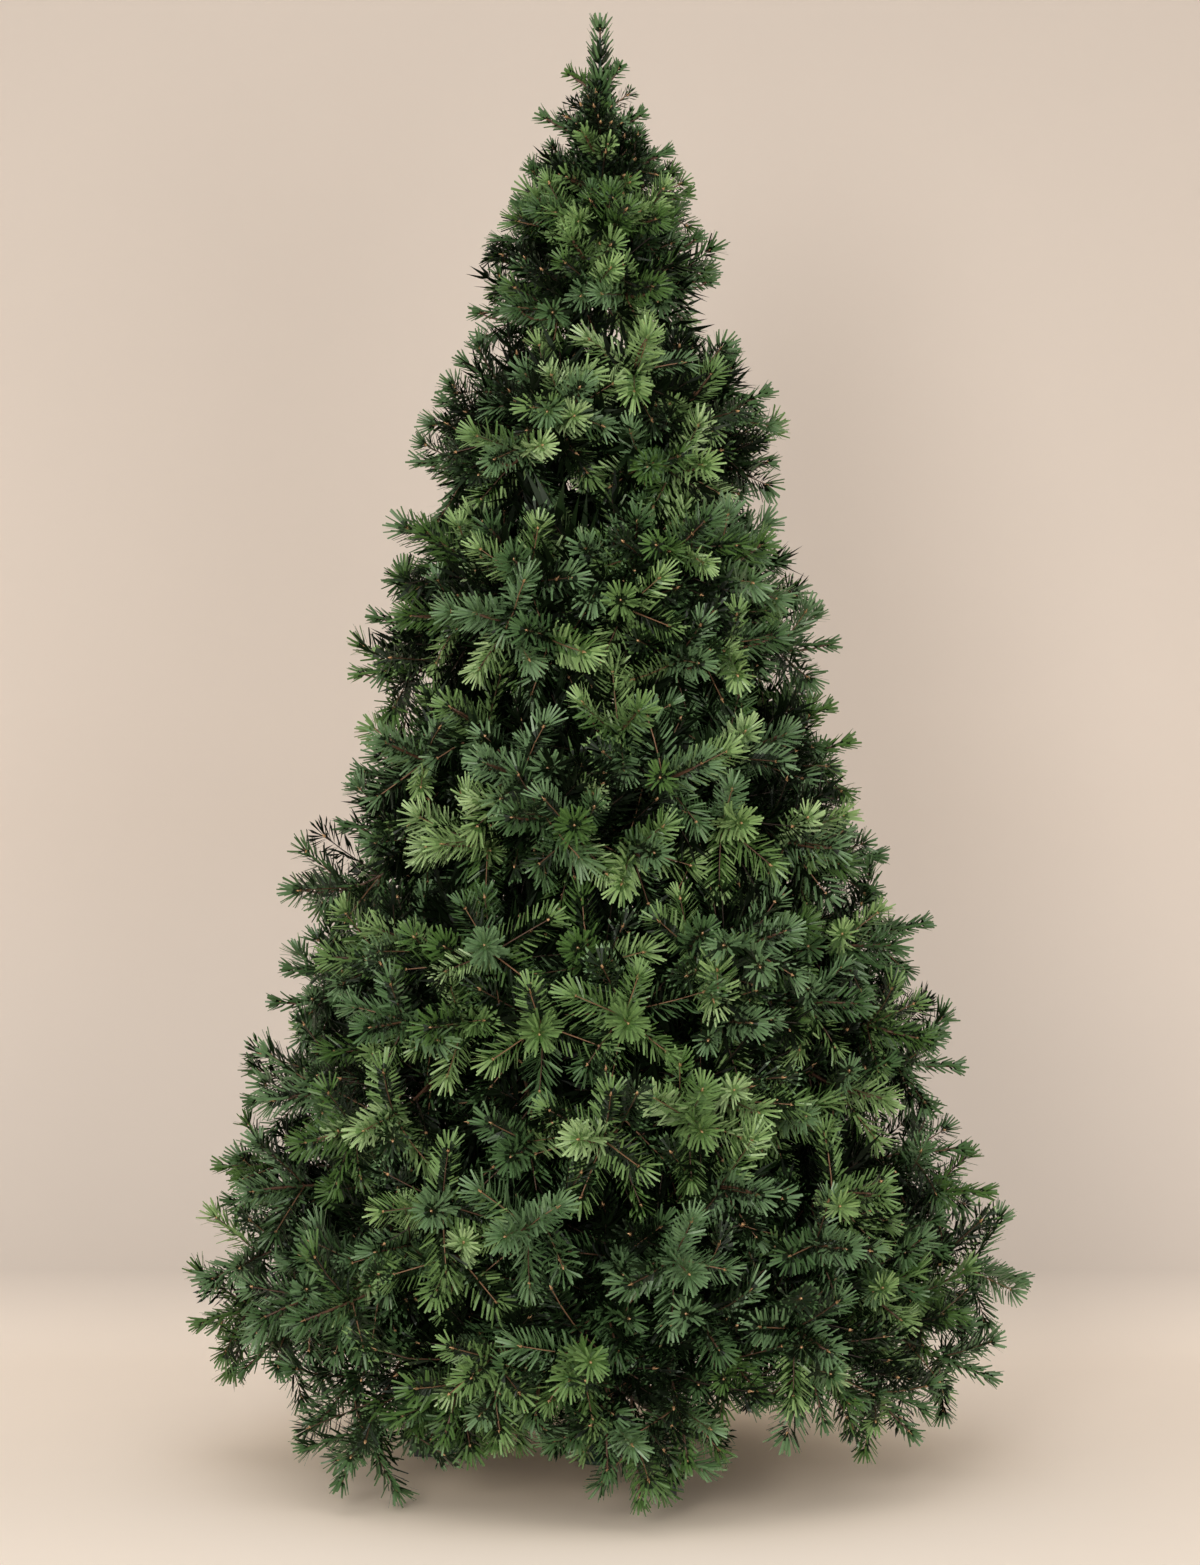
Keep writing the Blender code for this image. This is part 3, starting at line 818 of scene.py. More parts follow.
def needle_set(rng, build):
    """The corners, faces and tint places of a sprig's needles, for a twig of length 1 along +X.

    A whole needle has nine corners: its foot, an edge, a raised spine and the other edge past
    its middle, the two corners of its blunt end, the middle of that end, and two shoulders.
    """
    sizes = sprigs()
    kept, faces, feet, rows, fan, wide, tall, first, last = NEEDLE_BUILDS[build]
    size = sizes.needle_length * tall / sizes.length
    width = sizes.needle_width * wide / sizes.length
    place, around, shaded = [], [], []
    for number, middle, spread in rows:
        for side in (-1.0, 1.0):
            stray = rng.uniform(*PLACE_STRAY, number)
            place.append((np.arange(number) + stray) / number * ROW_SPAN)
            around.append(side * np.radians(rng.normal(middle, spread, number)))
            # Back rows of a comb keep the foot's dark tint to their ends: painted shade.
            shaded.append(np.full(number, middle > BACK_ROW and build == "flat"))
    place.append(rng.uniform(*FAN_PLACES, fan))
    around.append((np.arange(fan) * FAN_TURN) + rng.normal(0.0, FAN_TURN_STRAY, fan))
    shaded.append(np.zeros(fan, bool))
    place, around, shaded = (np.concatenate(part) for part in (place, around, shaded))
    count = len(place)
    opening = np.radians(first + (last - first) * place) + rng.normal(0.0, OPENING_STRAY, count)
    wider = np.sqrt((np.arange(fan) + FAN_FIRST) / (fan + FAN_FIRST - 1.0))
    opening[count - fan:] = np.radians(last + FAN_SPREAD) * wider
    long = size * rng.uniform(*NEEDLE_LENGTHS, count) * (1.0 - END_SHORTENING * place ** 3)
    long *= 1.0 - FOOT_SHORTENING + FOOT_SHORTENING * np.minimum(1.0, place * FOOT_PARTS)
    ahead = np.array([1.0, 0.0, 0.0])
    outward = np.stack([np.zeros(count), np.sin(around), np.cos(around)], axis=1)
    aim = ahead * np.cos(opening)[:, None] + outward * np.sin(opening)[:, None]
    across = np.cross(outward, ahead)
    roll = rng.normal(0.0, ROLL_STRAY, count)[:, None]
    across = across * np.cos(roll) + np.cross(aim, across) * np.sin(roll)
    spine = np.cross(across, aim)
    spine *= np.sign(np.sum(spine * outward, axis=1))[:, None]
    foot = ahead * place[:, None]
    curl = (ahead - aim * aim[:, :1]) * (rng.uniform(*CURLS, count) * long)[:, None]
    long = long[:, None]
    middle = foot + aim * long * BROADEST + curl * BROADEST_CURL
    shoulder = foot + aim * long * SHOULDER + curl * SHOULDER_CURL
    end = foot + aim * long + curl
    half = across * width / 2
    corners = np.stack([foot, middle - half, middle + spine * width * SPINE, middle + half,
                        end - half * BLUNT_END, end + half * BLUNT_END, end,
                        shoulder - half, shoulder + half], axis=1)
    corners = corners[:, kept].reshape(-1, 3)
    offsets = np.arange(count)[:, None, None] * len(kept)
    triangles = (np.array(faces)[None] + offsets).reshape(-1, 3)
    ends = (np.arange(len(faces)) >= feet)[None] & ~shaded[:, None]
    return corners, triangles, ends.ravel()


def lay_out(sprig, local, girth=1.0):
    """Carries points from a sprig's own space, where its twig is 1 long on +X, to the tree."""
    side = np.cross(sprig.up, sprig.direction)
    x = local[:, 0] * sprig.length + sprig.stalk
    y = local[:, 1] * sprig.length * girth
    z = local[:, 2] * sprig.length * girth + sprig.bend * x ** 2
    points = sprig.base + np.outer(x, sprig.direction) + np.outer(y, side) + np.outer(z, sprig.up)
    points[:, 2] = np.maximum(points[:, 2], FLOOR_FILM)
    return points


# The leader's side stems: where they leave it, where the photograph shows them end, and how far
# they lie behind the pole
LEADER_SIDES = ((1.972, 554, 57, 0.0), (1.970, 629, 47, 0.0), (1.945, 590, 88, -0.05),
                (1.945, 604, 84, 0.06), (1.945, 572, 92, -0.03), (1.940, 622, 88, -0.03),
                (1.915, 560, 110, -0.04), (1.915, 636, 108, -0.04),
                (1.900, 528, 104, 0.0), (1.905, 656, 99, 0.0),
                (1.880, 578, 118, -0.08), (1.880, 612, 130, -0.085), (1.880, 640, 118, 0.06),
                (1.880, 560, 112, 0.07), (1.850, 684, 139, 0.0), (1.845, 516, 158, 0.0),
                (1.835, 555, 166, -0.10), (1.830, 640, 172, -0.11), (1.835, 600, 180, -0.12),
                (1.835, 665, 165, 0.09), (1.835, 545, 150, 0.10), (1.835, 600, 140, 0.12),
                (1.800, 706, 184, 0.0), (1.800, 500, 194, 0.0), (1.790, 525, 200, -0.11),
                (1.790, 572, 215, -0.14), (1.785, 622, 218, -0.14), (1.790, 672, 212, -0.12),
                (1.790, 690, 200, 0.10), (1.790, 640, 190, 0.13), (1.790, 570, 190, 0.14),
                (1.790, 515, 200, 0.09))
# The spires round the leader's stem: how far their ends lie below its end, their length, girth
# and tints
# Spires with near-black feet paint shade into the leader.
LEADER_SPIRES = ((0.0, 0.105, 1.10, (1, 2)), (0.045, 0.100, 1.30, (0, 1)),
                 (0.080, 0.100, 1.50, (0, 2)), (0.130, 0.095, 1.70, (1, 2)))
LEADER_TOP_FOIL = 1.95  # the highest inner spray of the leader
LEADER_FOIL_STEP = 0.012
LEADER_FOIL_TURNS = 3  # inner sprays at each step
LEADER_FOIL_PITCHES = (0.3, 1.0)
LEADER_FOIL_REACH = 0.55  # of the outline
LEADER_LIFT = 0.25  # how strongly the side stems' ends turn up
LEADER_SWING = 0.3
LEADER_WHORL = (("flat", 0.70, 3, -6.0, 0.002, 0.80), ("thin", 1.0, 2, 10.0, 0.0, 0.70))


def grow_leader(shape):
    """The top of the tree: an upright stem with shorter ones that point up and out."""
    rng = np.random.default_rng([crown().seed, LEADER_SEED])
    sizes = sprigs()
    top = np.array([0.0, 0.0, TREE_HEIGHT - NEEDLE_OVERHANG])
    stems = [Stem(np.linspace([0.0, 0.0, shape.borders[-1]], top, STEM_POINTS), 1.0)]
    front = np.array([0.0, -1.0, 0.0])
    grown = []
    for below, long, girth, tone in LEADER_SPIRES:
        foot = top - UP * (below + long)
        grown.append(Sprig("spire", foot, UP, 0.0, long, tone, girth=girth, up=front))
    for foot, column, row, depth in LEADER_SIDES:
        end = from_photo(column, row, depth)
        start = np.array([0.0, 0.0, foot])
        arrival = unit(unit(end - start) + UP * LEADER_LIFT)
        route = bent_route(start, end - arrival * NEEDLE_OVERHANG, arrival, LEADER_SWING)
        stem = Stem(route, SMALLEST_SPRIGS, depth == 0.0)
        stems.append(stem)
        if stem.length > sizes.length:
            grown += grow_sprigs(stem, rng, LEADER_WHORL)
        else:
            tone = sprig_tone("spire", stem, end, rng, pick_tone(rng, SHADED_EDGE_TONES))
            grown.append(Sprig("spire", start, route[-1] - start, 0.0, stem.length, tone,
                               girth=EDGE_GIRTH * sizes.length / stem.length))
    for height in np.arange(shape.borders[-1], LEADER_TOP_FOIL, LEADER_FOIL_STEP):
        for _ in range(LEADER_FOIL_TURNS):
            aim = aimed(rng.uniform(0.0, 360.0), rng.uniform(*LEADER_FOIL_PITCHES))
            long = min(foil_room(UP * height, LEADER_FOIL_REACH), sizes.length)
            # The leader's inner sprays take the dim tints: painted shade.
            grown.append(Sprig("thin", UP * height, aim, 0.0, long, pick_tone(rng, INNER_SHADE_TONES)))
    return stems, grown


# Inner sprays along a main bough: how many, the stretch they take in its lengths, their lean,
# their lengths in sprig lengths, their reach in the outline and their bare stalk
LIMB_FOIL = 14
LIMB_FOIL_START = 0.30
LIMB_FOIL_SPAN = 1.1
LIMB_FOIL_LEANS = (0.2, 0.8)
LIMB_FOIL_LENGTHS = (1.5, 2.1)
LIMB_FOIL_REACH = 0.75
LIMB_FOIL_STALK = 0.01
# Those that hang from the lowest main boughs: how many, where along the bough, their slopes in
# radians, their lengths in sprig lengths and their bare stalk
SKIRT_FOIL = 24
SKIRT_FOIL_PLACES = (0.1, 1.1)
SKIRT_FOIL_PITCHES = (-1.5, -0.8)
SKIRT_FOIL_LENGTHS = (1.4, 2.1)
SKIRT_FOIL_STALK = 0.02


def grow_mass(limb, count, shape):
    """The stems and sprigs of one mass."""
    rng = np.random.default_rng([crown().seed + SPRIG_SEED, limb.tier, limb.place])
    stems = grow_stems(limb, count, shape)
    grown = [sprig for stem in stems for sprig in grow_sprigs(stem, rng)]
    span = limb.tip - limb.root
    along = unit(span)
    for step in range(LIMB_FOIL):
        point = limb.root + span * (LIMB_FOIL_START + LIMB_FOIL_SPAN * step / LIMB_FOIL)
        outward = turned_about(square_to(along, UP), along, FOIL_TURN * step)
        aim = along * rng.uniform(*LIMB_FOIL_LEANS) + outward
        long = sprigs().length * rng.uniform(*LIMB_FOIL_LENGTHS)
        long = min(long, foil_room(point, LIMB_FOIL_REACH))
        # Near-black inner sprays along the bough: painted shade.
        tone = pick_tone(rng, PAINTED_SHADE_TONES)
        grown.append(Sprig("foil", point, aim, LIMB_FOIL_STALK, long, tone))
    if limb.tier == 1:
        for _ in range(SKIRT_FOIL):
            point = limb.root + span * rng.uniform(*SKIRT_FOIL_PLACES)
            aim = aimed(rng.uniform(0.0, 360.0), rng.uniform(*SKIRT_FOIL_PITCHES))
            long = sprigs().length * rng.uniform(*SKIRT_FOIL_LENGTHS)
            # Near-black sprays hanging under the lowest boughs: painted shade.
            tone = pick_tone(rng, PAINTED_SHADE_TONES)
            grown.append(Sprig("foil", point, aim, SKIRT_FOIL_STALK, long, tone))
    return stems, grown


def grow_tree():
    """The name, stems and sprigs of every mass."""
    tiers = find_limbs()
    shape = Shape(tiers)
    for limbs in tiers:
        for limb in limbs:
            yield (limb.name, *grow_mass(limb, len(limbs), shape))
    yield ("leader", *grow_leader(shape))


# Materials

def plain_material(name, colour, roughness, shine=0.5):
    """A finish for joined small things, whose colour is dealt out by sprig."""
    material = bpy.data.materials.new(name)
    material.use_nodes = True
    shader = material.node_tree.nodes["Principled BSDF"]
    shader.inputs["Base Color"].default_value = (*colour, 1.0)
    shader.inputs["Roughness"].default_value = roughness
    shader.inputs["Specular IOR Level"].default_value = shine
    return material


NEEDLE_ROUGHNESS = 0.40
NEEDLE_SHINES = (0.05, 0.25, 0.50, 0.50, 0.50, 0.50, 0.50, 0.50)


def needle_materials():
    """One finish a colour, with less shine on the two darkest, which carry painted shade."""
    return [plain_material(f"needle_{name}", getattr(colours(), name), NEEDLE_ROUGHNESS, shine)
            for name, shine in zip(NEEDLE_COLOURS, NEEDLE_SHINES)]


def add_socket(group, name, direction, kind, default=None):
    socket = group.interface.new_socket(name=name, in_out=direction, socket_type=kind)
    if default is not None:
        socket.default_value = default


GRAIN_DETAIL = 4.0
PATCH_SCALE = 9.0
PATCH_DETAIL = 3.0
PATCH_EDGES = (0.42, 0.68)  # of the broad noise, between which the worn colour comes in
SHEEN_DRIFT = 0.22  # of the roughness, with the fine noise


def grain_group():
    """A coat's grain: a colour that drifts a little, a height for bumps, and a roughness."""
    name = "Coat Grain"
    if name in bpy.data.node_groups:
        return bpy.data.node_groups[name]
    group = bpy.data.node_groups.new(name, "ShaderNodeTree")
    add_socket(group, "Colour", "INPUT", "NodeSocketColor", (0.5, 0.5, 0.5, 1.0))
    add_socket(group, "Worn Colour", "INPUT", "NodeSocketColor", (0.6, 0.6, 0.6, 1.0))
    add_socket(group, "Scale", "INPUT", "NodeSocketFloat", 60.0)
    add_socket(group, "Roughness", "INPUT", "NodeSocketFloat", 0.45)
    add_socket(group, "Colour", "OUTPUT", "NodeSocketColor")
    add_socket(group, "Roughness", "OUTPUT", "NodeSocketFloat")
    add_socket(group, "Height", "OUTPUT", "NodeSocketFloat")
    nodes, links = group.nodes, group.links
    given = nodes.new("NodeGroupInput")
    result = nodes.new("NodeGroupOutput")
    where = nodes.new("ShaderNodeTexCoord")
    fine = nodes.new("ShaderNodeTexNoise")
    fine.inputs["Detail"].default_value = GRAIN_DETAIL
    links.new(where.outputs["Object"], fine.inputs["Vector"])
    links.new(given.outputs["Scale"], fine.inputs["Scale"])
    broad = nodes.new("ShaderNodeTexNoise")
    broad.inputs["Scale"].default_value = PATCH_SCALE
    broad.inputs["Detail"].default_value = PATCH_DETAIL
    links.new(where.outputs["Object"], broad.inputs["Vector"])
    patch = nodes.new("ShaderNodeMapRange")
    patch.inputs["From Min"].default_value = PATCH_EDGES[0]
    patch.inputs["From Max"].default_value = PATCH_EDGES[1]
    links.new(broad.outputs["Fac"], patch.inputs["Value"])
    tint = nodes.new("ShaderNodeMix")
    tint.data_type = "RGBA"
    links.new(patch.outputs["Result"], tint.inputs["Factor"])
    links.new(given.outputs["Colour"], tint.inputs["A"])
    links.new(given.outputs["Worn Colour"], tint.inputs["B"])
    sheen = nodes.new("ShaderNodeMath")
    sheen.operation = "MULTIPLY_ADD"
    sheen.inputs[1].default_value = SHEEN_DRIFT
    links.new(fine.outputs["Fac"], sheen.inputs[0])
    links.new(given.outputs["Roughness"], sheen.inputs[2])
    links.new(tint.outputs["Result"], result.inputs["Colour"])
    links.new(sheen.outputs["Value"], result.inputs["Roughness"])
    links.new(fine.outputs["Fac"], result.inputs["Height"])
    return group


def grained_material(name, colour, worn, scale, roughness, bump, metallic=0.0):
    """A finish whose grain shows in its colour, its sheen and its surface."""
    material = bpy.data.materials.new(name)
    material.use_nodes = True
    nodes, links = material.node_tree.nodes, material.node_tree.links
    shader = nodes["Principled BSDF"]
    shader.inputs["Metallic"].default_value = metallic
    grain = nodes.new("ShaderNodeGroup")
    grain.node_tree = grain_group()
    grain.inputs["Colour"].default_value = (*colour, 1.0)
    grain.inputs["Worn Colour"].default_value = (*worn, 1.0)
    grain.inputs["Scale"].default_value = scale
    grain.inputs["Roughness"].default_value = roughness
    relief = nodes.new("ShaderNodeBump")
    relief.inputs["Distance"].default_value = bump
    links.new(grain.outputs["Height"], relief.inputs["Height"])
    links.new(relief.outputs["Normal"], shader.inputs["Normal"])
    links.new(grain.outputs["Colour"], shader.inputs["Base Color"])
    links.new(grain.outputs["Roughness"], shader.inputs["Roughness"])
    return material


def coat_material(name):
    coat = colours()
    return grained_material(name, coat.coat_green, coat.coat_worn,
                            scale=220.0, roughness=0.34, bump=0.0004)


def rubber_material():
    rubber = colours()
    return grained_material("rubber", rubber.rubber_black, rubber.rubber_grey,
                            scale=90.0, roughness=0.62, bump=0.0005)


def zinc_material():
    zinc = colours()
    return grained_material("zinc", zinc.zinc_grey, zinc.zinc_dull,
                            scale=160.0, roughness=0.22, bump=0.0002, metallic=1.0)


def film_material():
    film = colours()
    return grained_material("wound_film", film.film_brown, film.film_tan,
                            scale=140.0, roughness=0.48, bump=0.0006)


# Pieces

def adopt(piece, slot, *nodes):
    """Rides a piece on the tree's body, in place of nodes; the slot is not used."""
    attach(piece, BODY)
    if nodes:
        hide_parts(*nodes)


class CHRISTMAS_TREE_OT_needles(bpy.types.Operator):
    """Adds the needles of every mass of foliage"""

    bl_idname = "christmas_tree.needles"
    bl_label = "Needles"

    def execute(self, context):
        rng = np.random.default_rng(crown().seed + NEEDLE_SEED)
        materials = needle_materials()
        sets = {build: [needle_set(rng, build) for _ in range(PATTERNS)]
                for build in NEEDLE_BUILDS}
        for name, _, grown in grow_tree():
            gathered = Gathered()
            for sprig in grown:
                local, triangles, ends = sets[sprig.build][rng.integers(PATTERNS)]
                points = lay_out(sprig, local, sprig.girth)
                gathered.add(points, triangles, np.where(ends, sprig.tone[1], sprig.tone[0]))
            piece = gathered.make(f"needles_{name}", materials)
            adopt(piece, "needles", f"foliage_{name}")
        return {"FINISHED"}


STEM_SIDES = 5
TWIG_SIDES = 3
TWIG_RINGS = 4
FOIL_TWIG_RINGS = 2
TWIG_ROUGHNESS = 0.5
TWIG_TAPER = 0.6  # the radius of a twig's end, as a share of its foot's
TWIG_END = 0.99  # where a twig's tube ends, in its lengths
LIGHT_TWIGS = 0.4  # the share of outer twigs in the lighter film
SHADED_NEEDLE_COLOURS = ("night_green", "deep_green")  # of the needles whose twigs are in the dark film, which is painted shade


class CHRISTMAS_TREE_OT_twigs(bpy.types.Operator):
    """Adds the twigs inside the sprigs, and the stems that carry them"""

    bl_idname = "christmas_tree.twigs"
    bl_label = "Twigs"

    def execute(self, context):
        film = colours()
        materials = [plain_material("twig_film", film.film_brown, TWIG_ROUGHNESS),
                     plain_material("twig_film_light", film.film_tan, TWIG_ROUGHNESS),
                     plain_material("twig_film_dark", film.film_dark, TWIG_ROUGHNESS)]
        radius = sprigs().twig_radius
        for name, stems, grown in grow_tree():
            rng = np.random.default_rng([crown().seed + TWIG_SEED, len(grown)])
            gathered = Gathered()
            for stem in stems:
                radii = np.linspace(crown().stem_radius, radius, len(stem.route))
                gathered.add(*tube(stem.route, radii, STEM_SIDES))
            for sprig in grown:
                rings = FOIL_TWIG_RINGS if sprig.build == "foil" else TWIG_RINGS
                local = np.zeros((rings, 3))
                local[:, 0] = np.linspace(-sprig.stalk / sprig.length, TWIG_END, rings)
                radii = radius * np.linspace(1.0, TWIG_TAPER, rings)
                # Twigs of sprigs in the two darkest tints get the dark film: painted shade.
                dark = NEEDLE_COLOURS[sprig.tone[1]] in SHADED_NEEDLE_COLOURS
                tint = len(materials) - 1 if dark else int(rng.random() < LIGHT_TWIGS)
                twig = tube(lay_out(sprig, local), radii, TWIG_SIDES, closed=False)
                gathered.add(*twig, tint)
            piece = gathered.make(f"twigs_{name}", materials, smooth=True)
            adopt(piece, "bough")
        return {"FINISHED"}


BUD_SIDES = 5
BUD_ROUGHNESS = 0.45
BUD_STRETCH = 1.5
BUD_PLACE = 1.02  # of a bud's middle, in its sprig's lengths


class CHRISTMAS_TREE_OT_buds(bpy.types.Operator):
    """Adds the bud at the end of every sprig"""

    bl_idname = "christmas_tree.buds"
    bl_label = "Buds"

    def execute(self, context):
        material = plain_material("bud", colours().bud_tan, BUD_ROUGHNESS)
        shape = bmesh.new()
        bmesh.ops.create_cone(shape, cap_ends=True, cap_tris=True, segments=BUD_SIDES,
                              radius1=1.0, radius2=0.0, depth=2.0)
        corners, faces = from_bmesh(shape)
        corners = corners[:, [2, 1, 0]]
        radius = sprigs().bud_radius
        for name, _, grown in grow_tree():
            gathered = Gathered()
            for sprig in grown:
                if sprig.build == "foil":
                    continue
                local = corners * radius / sprig.length
                local[:, 0] = local[:, 0] * BUD_STRETCH + BUD_PLACE
                gathered.add(lay_out(sprig, local), faces)
            piece = gathered.make(f"buds_{name}", [material], smooth=True)
            adopt(piece, "bough")
        return {"FINISHED"}


def bough_radius(limb):
    """The radius of a limb's root, from its frame solid."""
    corners = frame_corners(f"bough_{limb.name}")
    out = (corners - limb.root) @ aimed(limb.heading, 0.0)
    root = corners[out < NEAR]
    return float(np.linalg.norm(root - limb.root, axis=1).max())


BOUGH_END = 0.55  # how far a bough runs on inside its mass, in its lengths
BOUGH_TAPER = 0.45  # the radius of its end, as a share of its root's
BOUGH_LEVEL = 0.016  # the level stretch at its root
BOUGH_RINGS = 40
BOUGH_SIDES = 8
WINDING = 0.10  # the height of the wound film's ridges, in radii
WINDING_PITCH = 0.011


class CHRISTMAS_TREE_OT_boughs(bpy.types.Operator):
    """Adds the main boughs, wound with film, from the pole into their masses"""

    bl_idname = "christmas_tree.boughs"
    bl_label = "Main boughs"

    def execute(self, context):
        gathered = Gathered()
        nodes = []
        for limbs in find_limbs():
            for limb in limbs:
                nodes.append(f"bough_{limb.name}")
                thick = bough_radius(limb)
                core = limb.tip + (limb.tip - limb.root) * BOUGH_END
                knee = limb.root + aimed(limb.heading, 0.0) * BOUGH_LEVEL
                route = np.concatenate([[limb.root], np.linspace(knee, core, BOUGH_RINGS)])
                radii = np.linspace(thick, thick * BOUGH_TAPER, len(route))
                gathered.add(*tube(route, radii, BOUGH_SIDES, ridges=WINDING,
                                   ridge_pitch=WINDING_PITCH))
        piece = gathered.make("main_boughs", [film_material()], smooth=True)
        adopt(piece, "bough", *nodes)
        return {"FINISHED"}


RIM_HEIGHT = 0.020
RIM_ROUNDING = (0.002, 0.0015)  # below and above it
COLLAR_GAP = 0.001  # between a bough's root and the flanges over and under it
# The corners of a hinge collar on one side of a bough's root: which of its reaches each one has,
# and how far beyond the root it lies
COLLAR_CORNERS = (("flange", 0.0), ("flange", 0.0014), ("collar", -0.0004), ("collar", 0.0018),
                  ("collar", 0.0060), ("tube", 0.0066))
POLE_SIDES = 32


def pole_profile():
    """The pole's reaches and heights from its foot up: the frame's own tubes, each with a rolled
    rim at its top, and a hinge collar with two flanges round the boughs' roots of every tier."""
    corners = frame_corners("trunk")
    reaches = np.hypot(corners[:, 0], corners[:, 1])
    levels = np.unique(np.round(corners[:, 2], 4))
    tubes = [(float(reaches[abs(corners[:, 2] - z) < NEAR].max()), float(z)) for z in levels]
    profile = list(tubes)
    for (reach, _), (top_reach, top), (after, _) in zip(tubes, tubes[1:], tubes[2:]):
        if abs(reach - top_reach) < SAME and after < reach - SAME:
            rolled = reach + stand().rim
            profile += [(reach, top - RIM_HEIGHT - RIM_ROUNDING[0]), (rolled, top - RIM_HEIGHT),
                        (rolled, top - RIM_ROUNDING[1])]
    for limbs in find_limbs():
        level = float(limbs[0].root[2])
        reach = float(np.interp(level, [z for _, z in tubes], [r for r, _ in tubes]))
        half = bough_radius(limbs[0]) + COLLAR_GAP
        rounds = {"tube": reach, "collar": reach + stand().collar,
                  "flange": reach + stand().flange}
        for side in (-1.0, 1.0):
            profile += [(rounds[kind], level + side * (half + beyond))
                        for kind, beyond in COLLAR_CORNERS]
    return sorted(profile, key=lambda corner: corner[1])


class CHRISTMAS_TREE_OT_pole(bpy.types.Operator):
    """Adds the steel pole with its rims and hinge collars"""

    bl_idname = "christmas_tree.pole"
    bl_label = "Pole"

    def execute(self, context):
        gathered = Gathered()
        gathered.add(*turned(pole_profile(), POLE_SIDES))
        piece = gathered.make("pole", [coat_material("pole_coat")], smooth=True)
        adopt(piece, "pole", "trunk")
        return {"FINISHED"}


SOCKET_SIDES = 36
# The corners of the socket's foot, its rim and its bore: how far each lies beyond the foot's, the
# tube's or the bore's reach, and its height above the floor or above the top
FOOT_CORNERS = ((-0.002, 0.0), (0.0, 0.0015), (0.0, 0.0050), (-0.0015, 0.0062))
FILLET_CORNERS = ((0.0030, 0.0100), (0.0, 0.0130))
RIM_CORNERS = ((0.0, -0.012), (0.0012, -0.010), (0.0012, -0.0015), (0.0, 0.0))
BORE_CORNERS = ((0.0004, 0.0), (0.0, -0.0010))


def socket_profile():
    """The socket's reaches and heights: up its outside from the foot, over its rim and down the
    bore to the bore's floor."""
    corners = frame_corners("stand_socket")
    reaches = np.hypot(corners[:, 0], corners[:, 1])
    foot, top = float(reaches.max()), float(corners[:, 2].max())
    outer = float(reaches[corners[:, 2] > top - NEAR].max())
    bore = float(reaches[corners[:, 2] > top - NEAR].min())
    inner = corners[(reaches > bore - NEAR) & (reaches < bore + NEAR)]
    floor = float(inner[:, 2].min())
    parts = ((FOOT_CORNERS, foot, 0.0), (FILLET_CORNERS, outer, 0.0),
             (RIM_CORNERS, outer, top), (BORE_CORNERS, bore, top))
    profile = [(reach + beyond, start + above)
               for part, reach, start in parts for beyond, above in part]
    return [*profile, (bore, floor)]


SCREW_START = 0.0165  # the reach of a shank's inner end, against the pole
SCREW_RINGS = 60
SCREW_SIDES = 10
THREAD = 0.10  # the height of its thread, in radii
THREAD_PITCH = 0.0012
NUT_REACHES = (0.0205, 0.0210, 0.0255, 0.0260)
NUT_RADII = (0.0046, 0.0056, 0.0056, 0.0046)
NUT_SIDES = 6
EYE_RINGS = 33
EYE_SIDES = 8
EYE_WIRE = 0.8  # the radius of the ring's wire, as a share of the shank's
EYE_OVERLAP = 0.001  # between the ring and the shank


def eye_screw(heading):
    """The corners and triangles of one eye screw: a threaded shank, a nut and a ring."""
    sizes = stand()
    out = aimed(heading, 0.0)
    level = UP * sizes.screw_height
    shank = [out * reach + level
             for reach in np.linspace(SCREW_START, sizes.screw_reach, SCREW_RINGS)]
    yield tube(shank, np.full(SCREW_RINGS, sizes.screw_radius), SCREW_SIDES, ridges=THREAD,
               ridge_pitch=THREAD_PITCH)
    yield tube([out * reach + level for reach in NUT_REACHES], np.array(NUT_RADII), NUT_SIDES)
    middle = out * (sizes.screw_reach + sizes.eye_radius - EYE_OVERLAP) + level
    turns = np.linspace(0.0, 2.0 * math.pi, EYE_RINGS)
    ring = [middle + sizes.eye_radius * (out * math.cos(a) + UP * math.sin(a)) for a in turns]
    yield tube(ring, np.full(EYE_RINGS, sizes.screw_radius * EYE_WIRE), EYE_SIDES, closed=False)


CAP_SCALE = 1.14  # of a foot's cap, as a multiple of the leg inside it
FLAT_ANGLE = 1.0  # in degrees: faces that meet at less are one face
EDGE_SEGMENTS = 3


def leg_parts(name):
    """The corners and triangles of a leg with rounded edges, and of the rubber cap on its foot."""
    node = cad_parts[name]
    middle = frame_corners(name).mean(axis=0)
    out = Vector(unit(np.array([middle[0], middle[1], 0.0])))
    far = max(v.co.dot(out) for v in node.data.vertices)
    for capped in (False, True):
        shape = bmesh.new()
        shape.from_mesh(node.data)
        bmesh.ops.dissolve_limit(shape, angle_limit=math.radians(FLAT_ANGLE),
                                 verts=shape.verts[:], edges=shape.edges[:])
        if capped:
            geometry = shape.verts[:] + shape.edges[:] + shape.faces[:]
            cut = out * (far - stand().cap_length)
            bmesh.ops.bisect_plane(shape, geom=geometry, plane_co=cut, plane_no=out,
                                   clear_inner=True)
            bmesh.ops.holes_fill(shape, edges=[e for e in shape.edges if e.is_boundary])
            centre = sum((v.co for v in shape.verts), Vector()) / len(shape.verts)
            for corner in shape.verts:
                corner.co = centre + (corner.co - centre) * CAP_SCALE
                corner.co.z = max(corner.co.z, 0.0)
        bmesh.ops.bevel(shape, geom=shape.edges[:], offset=stand().edge_radius,
                        segments=EDGE_SEGMENTS, profile=0.5, affect="EDGES", clamp_overlap=True)
        yield from_bmesh(shape)


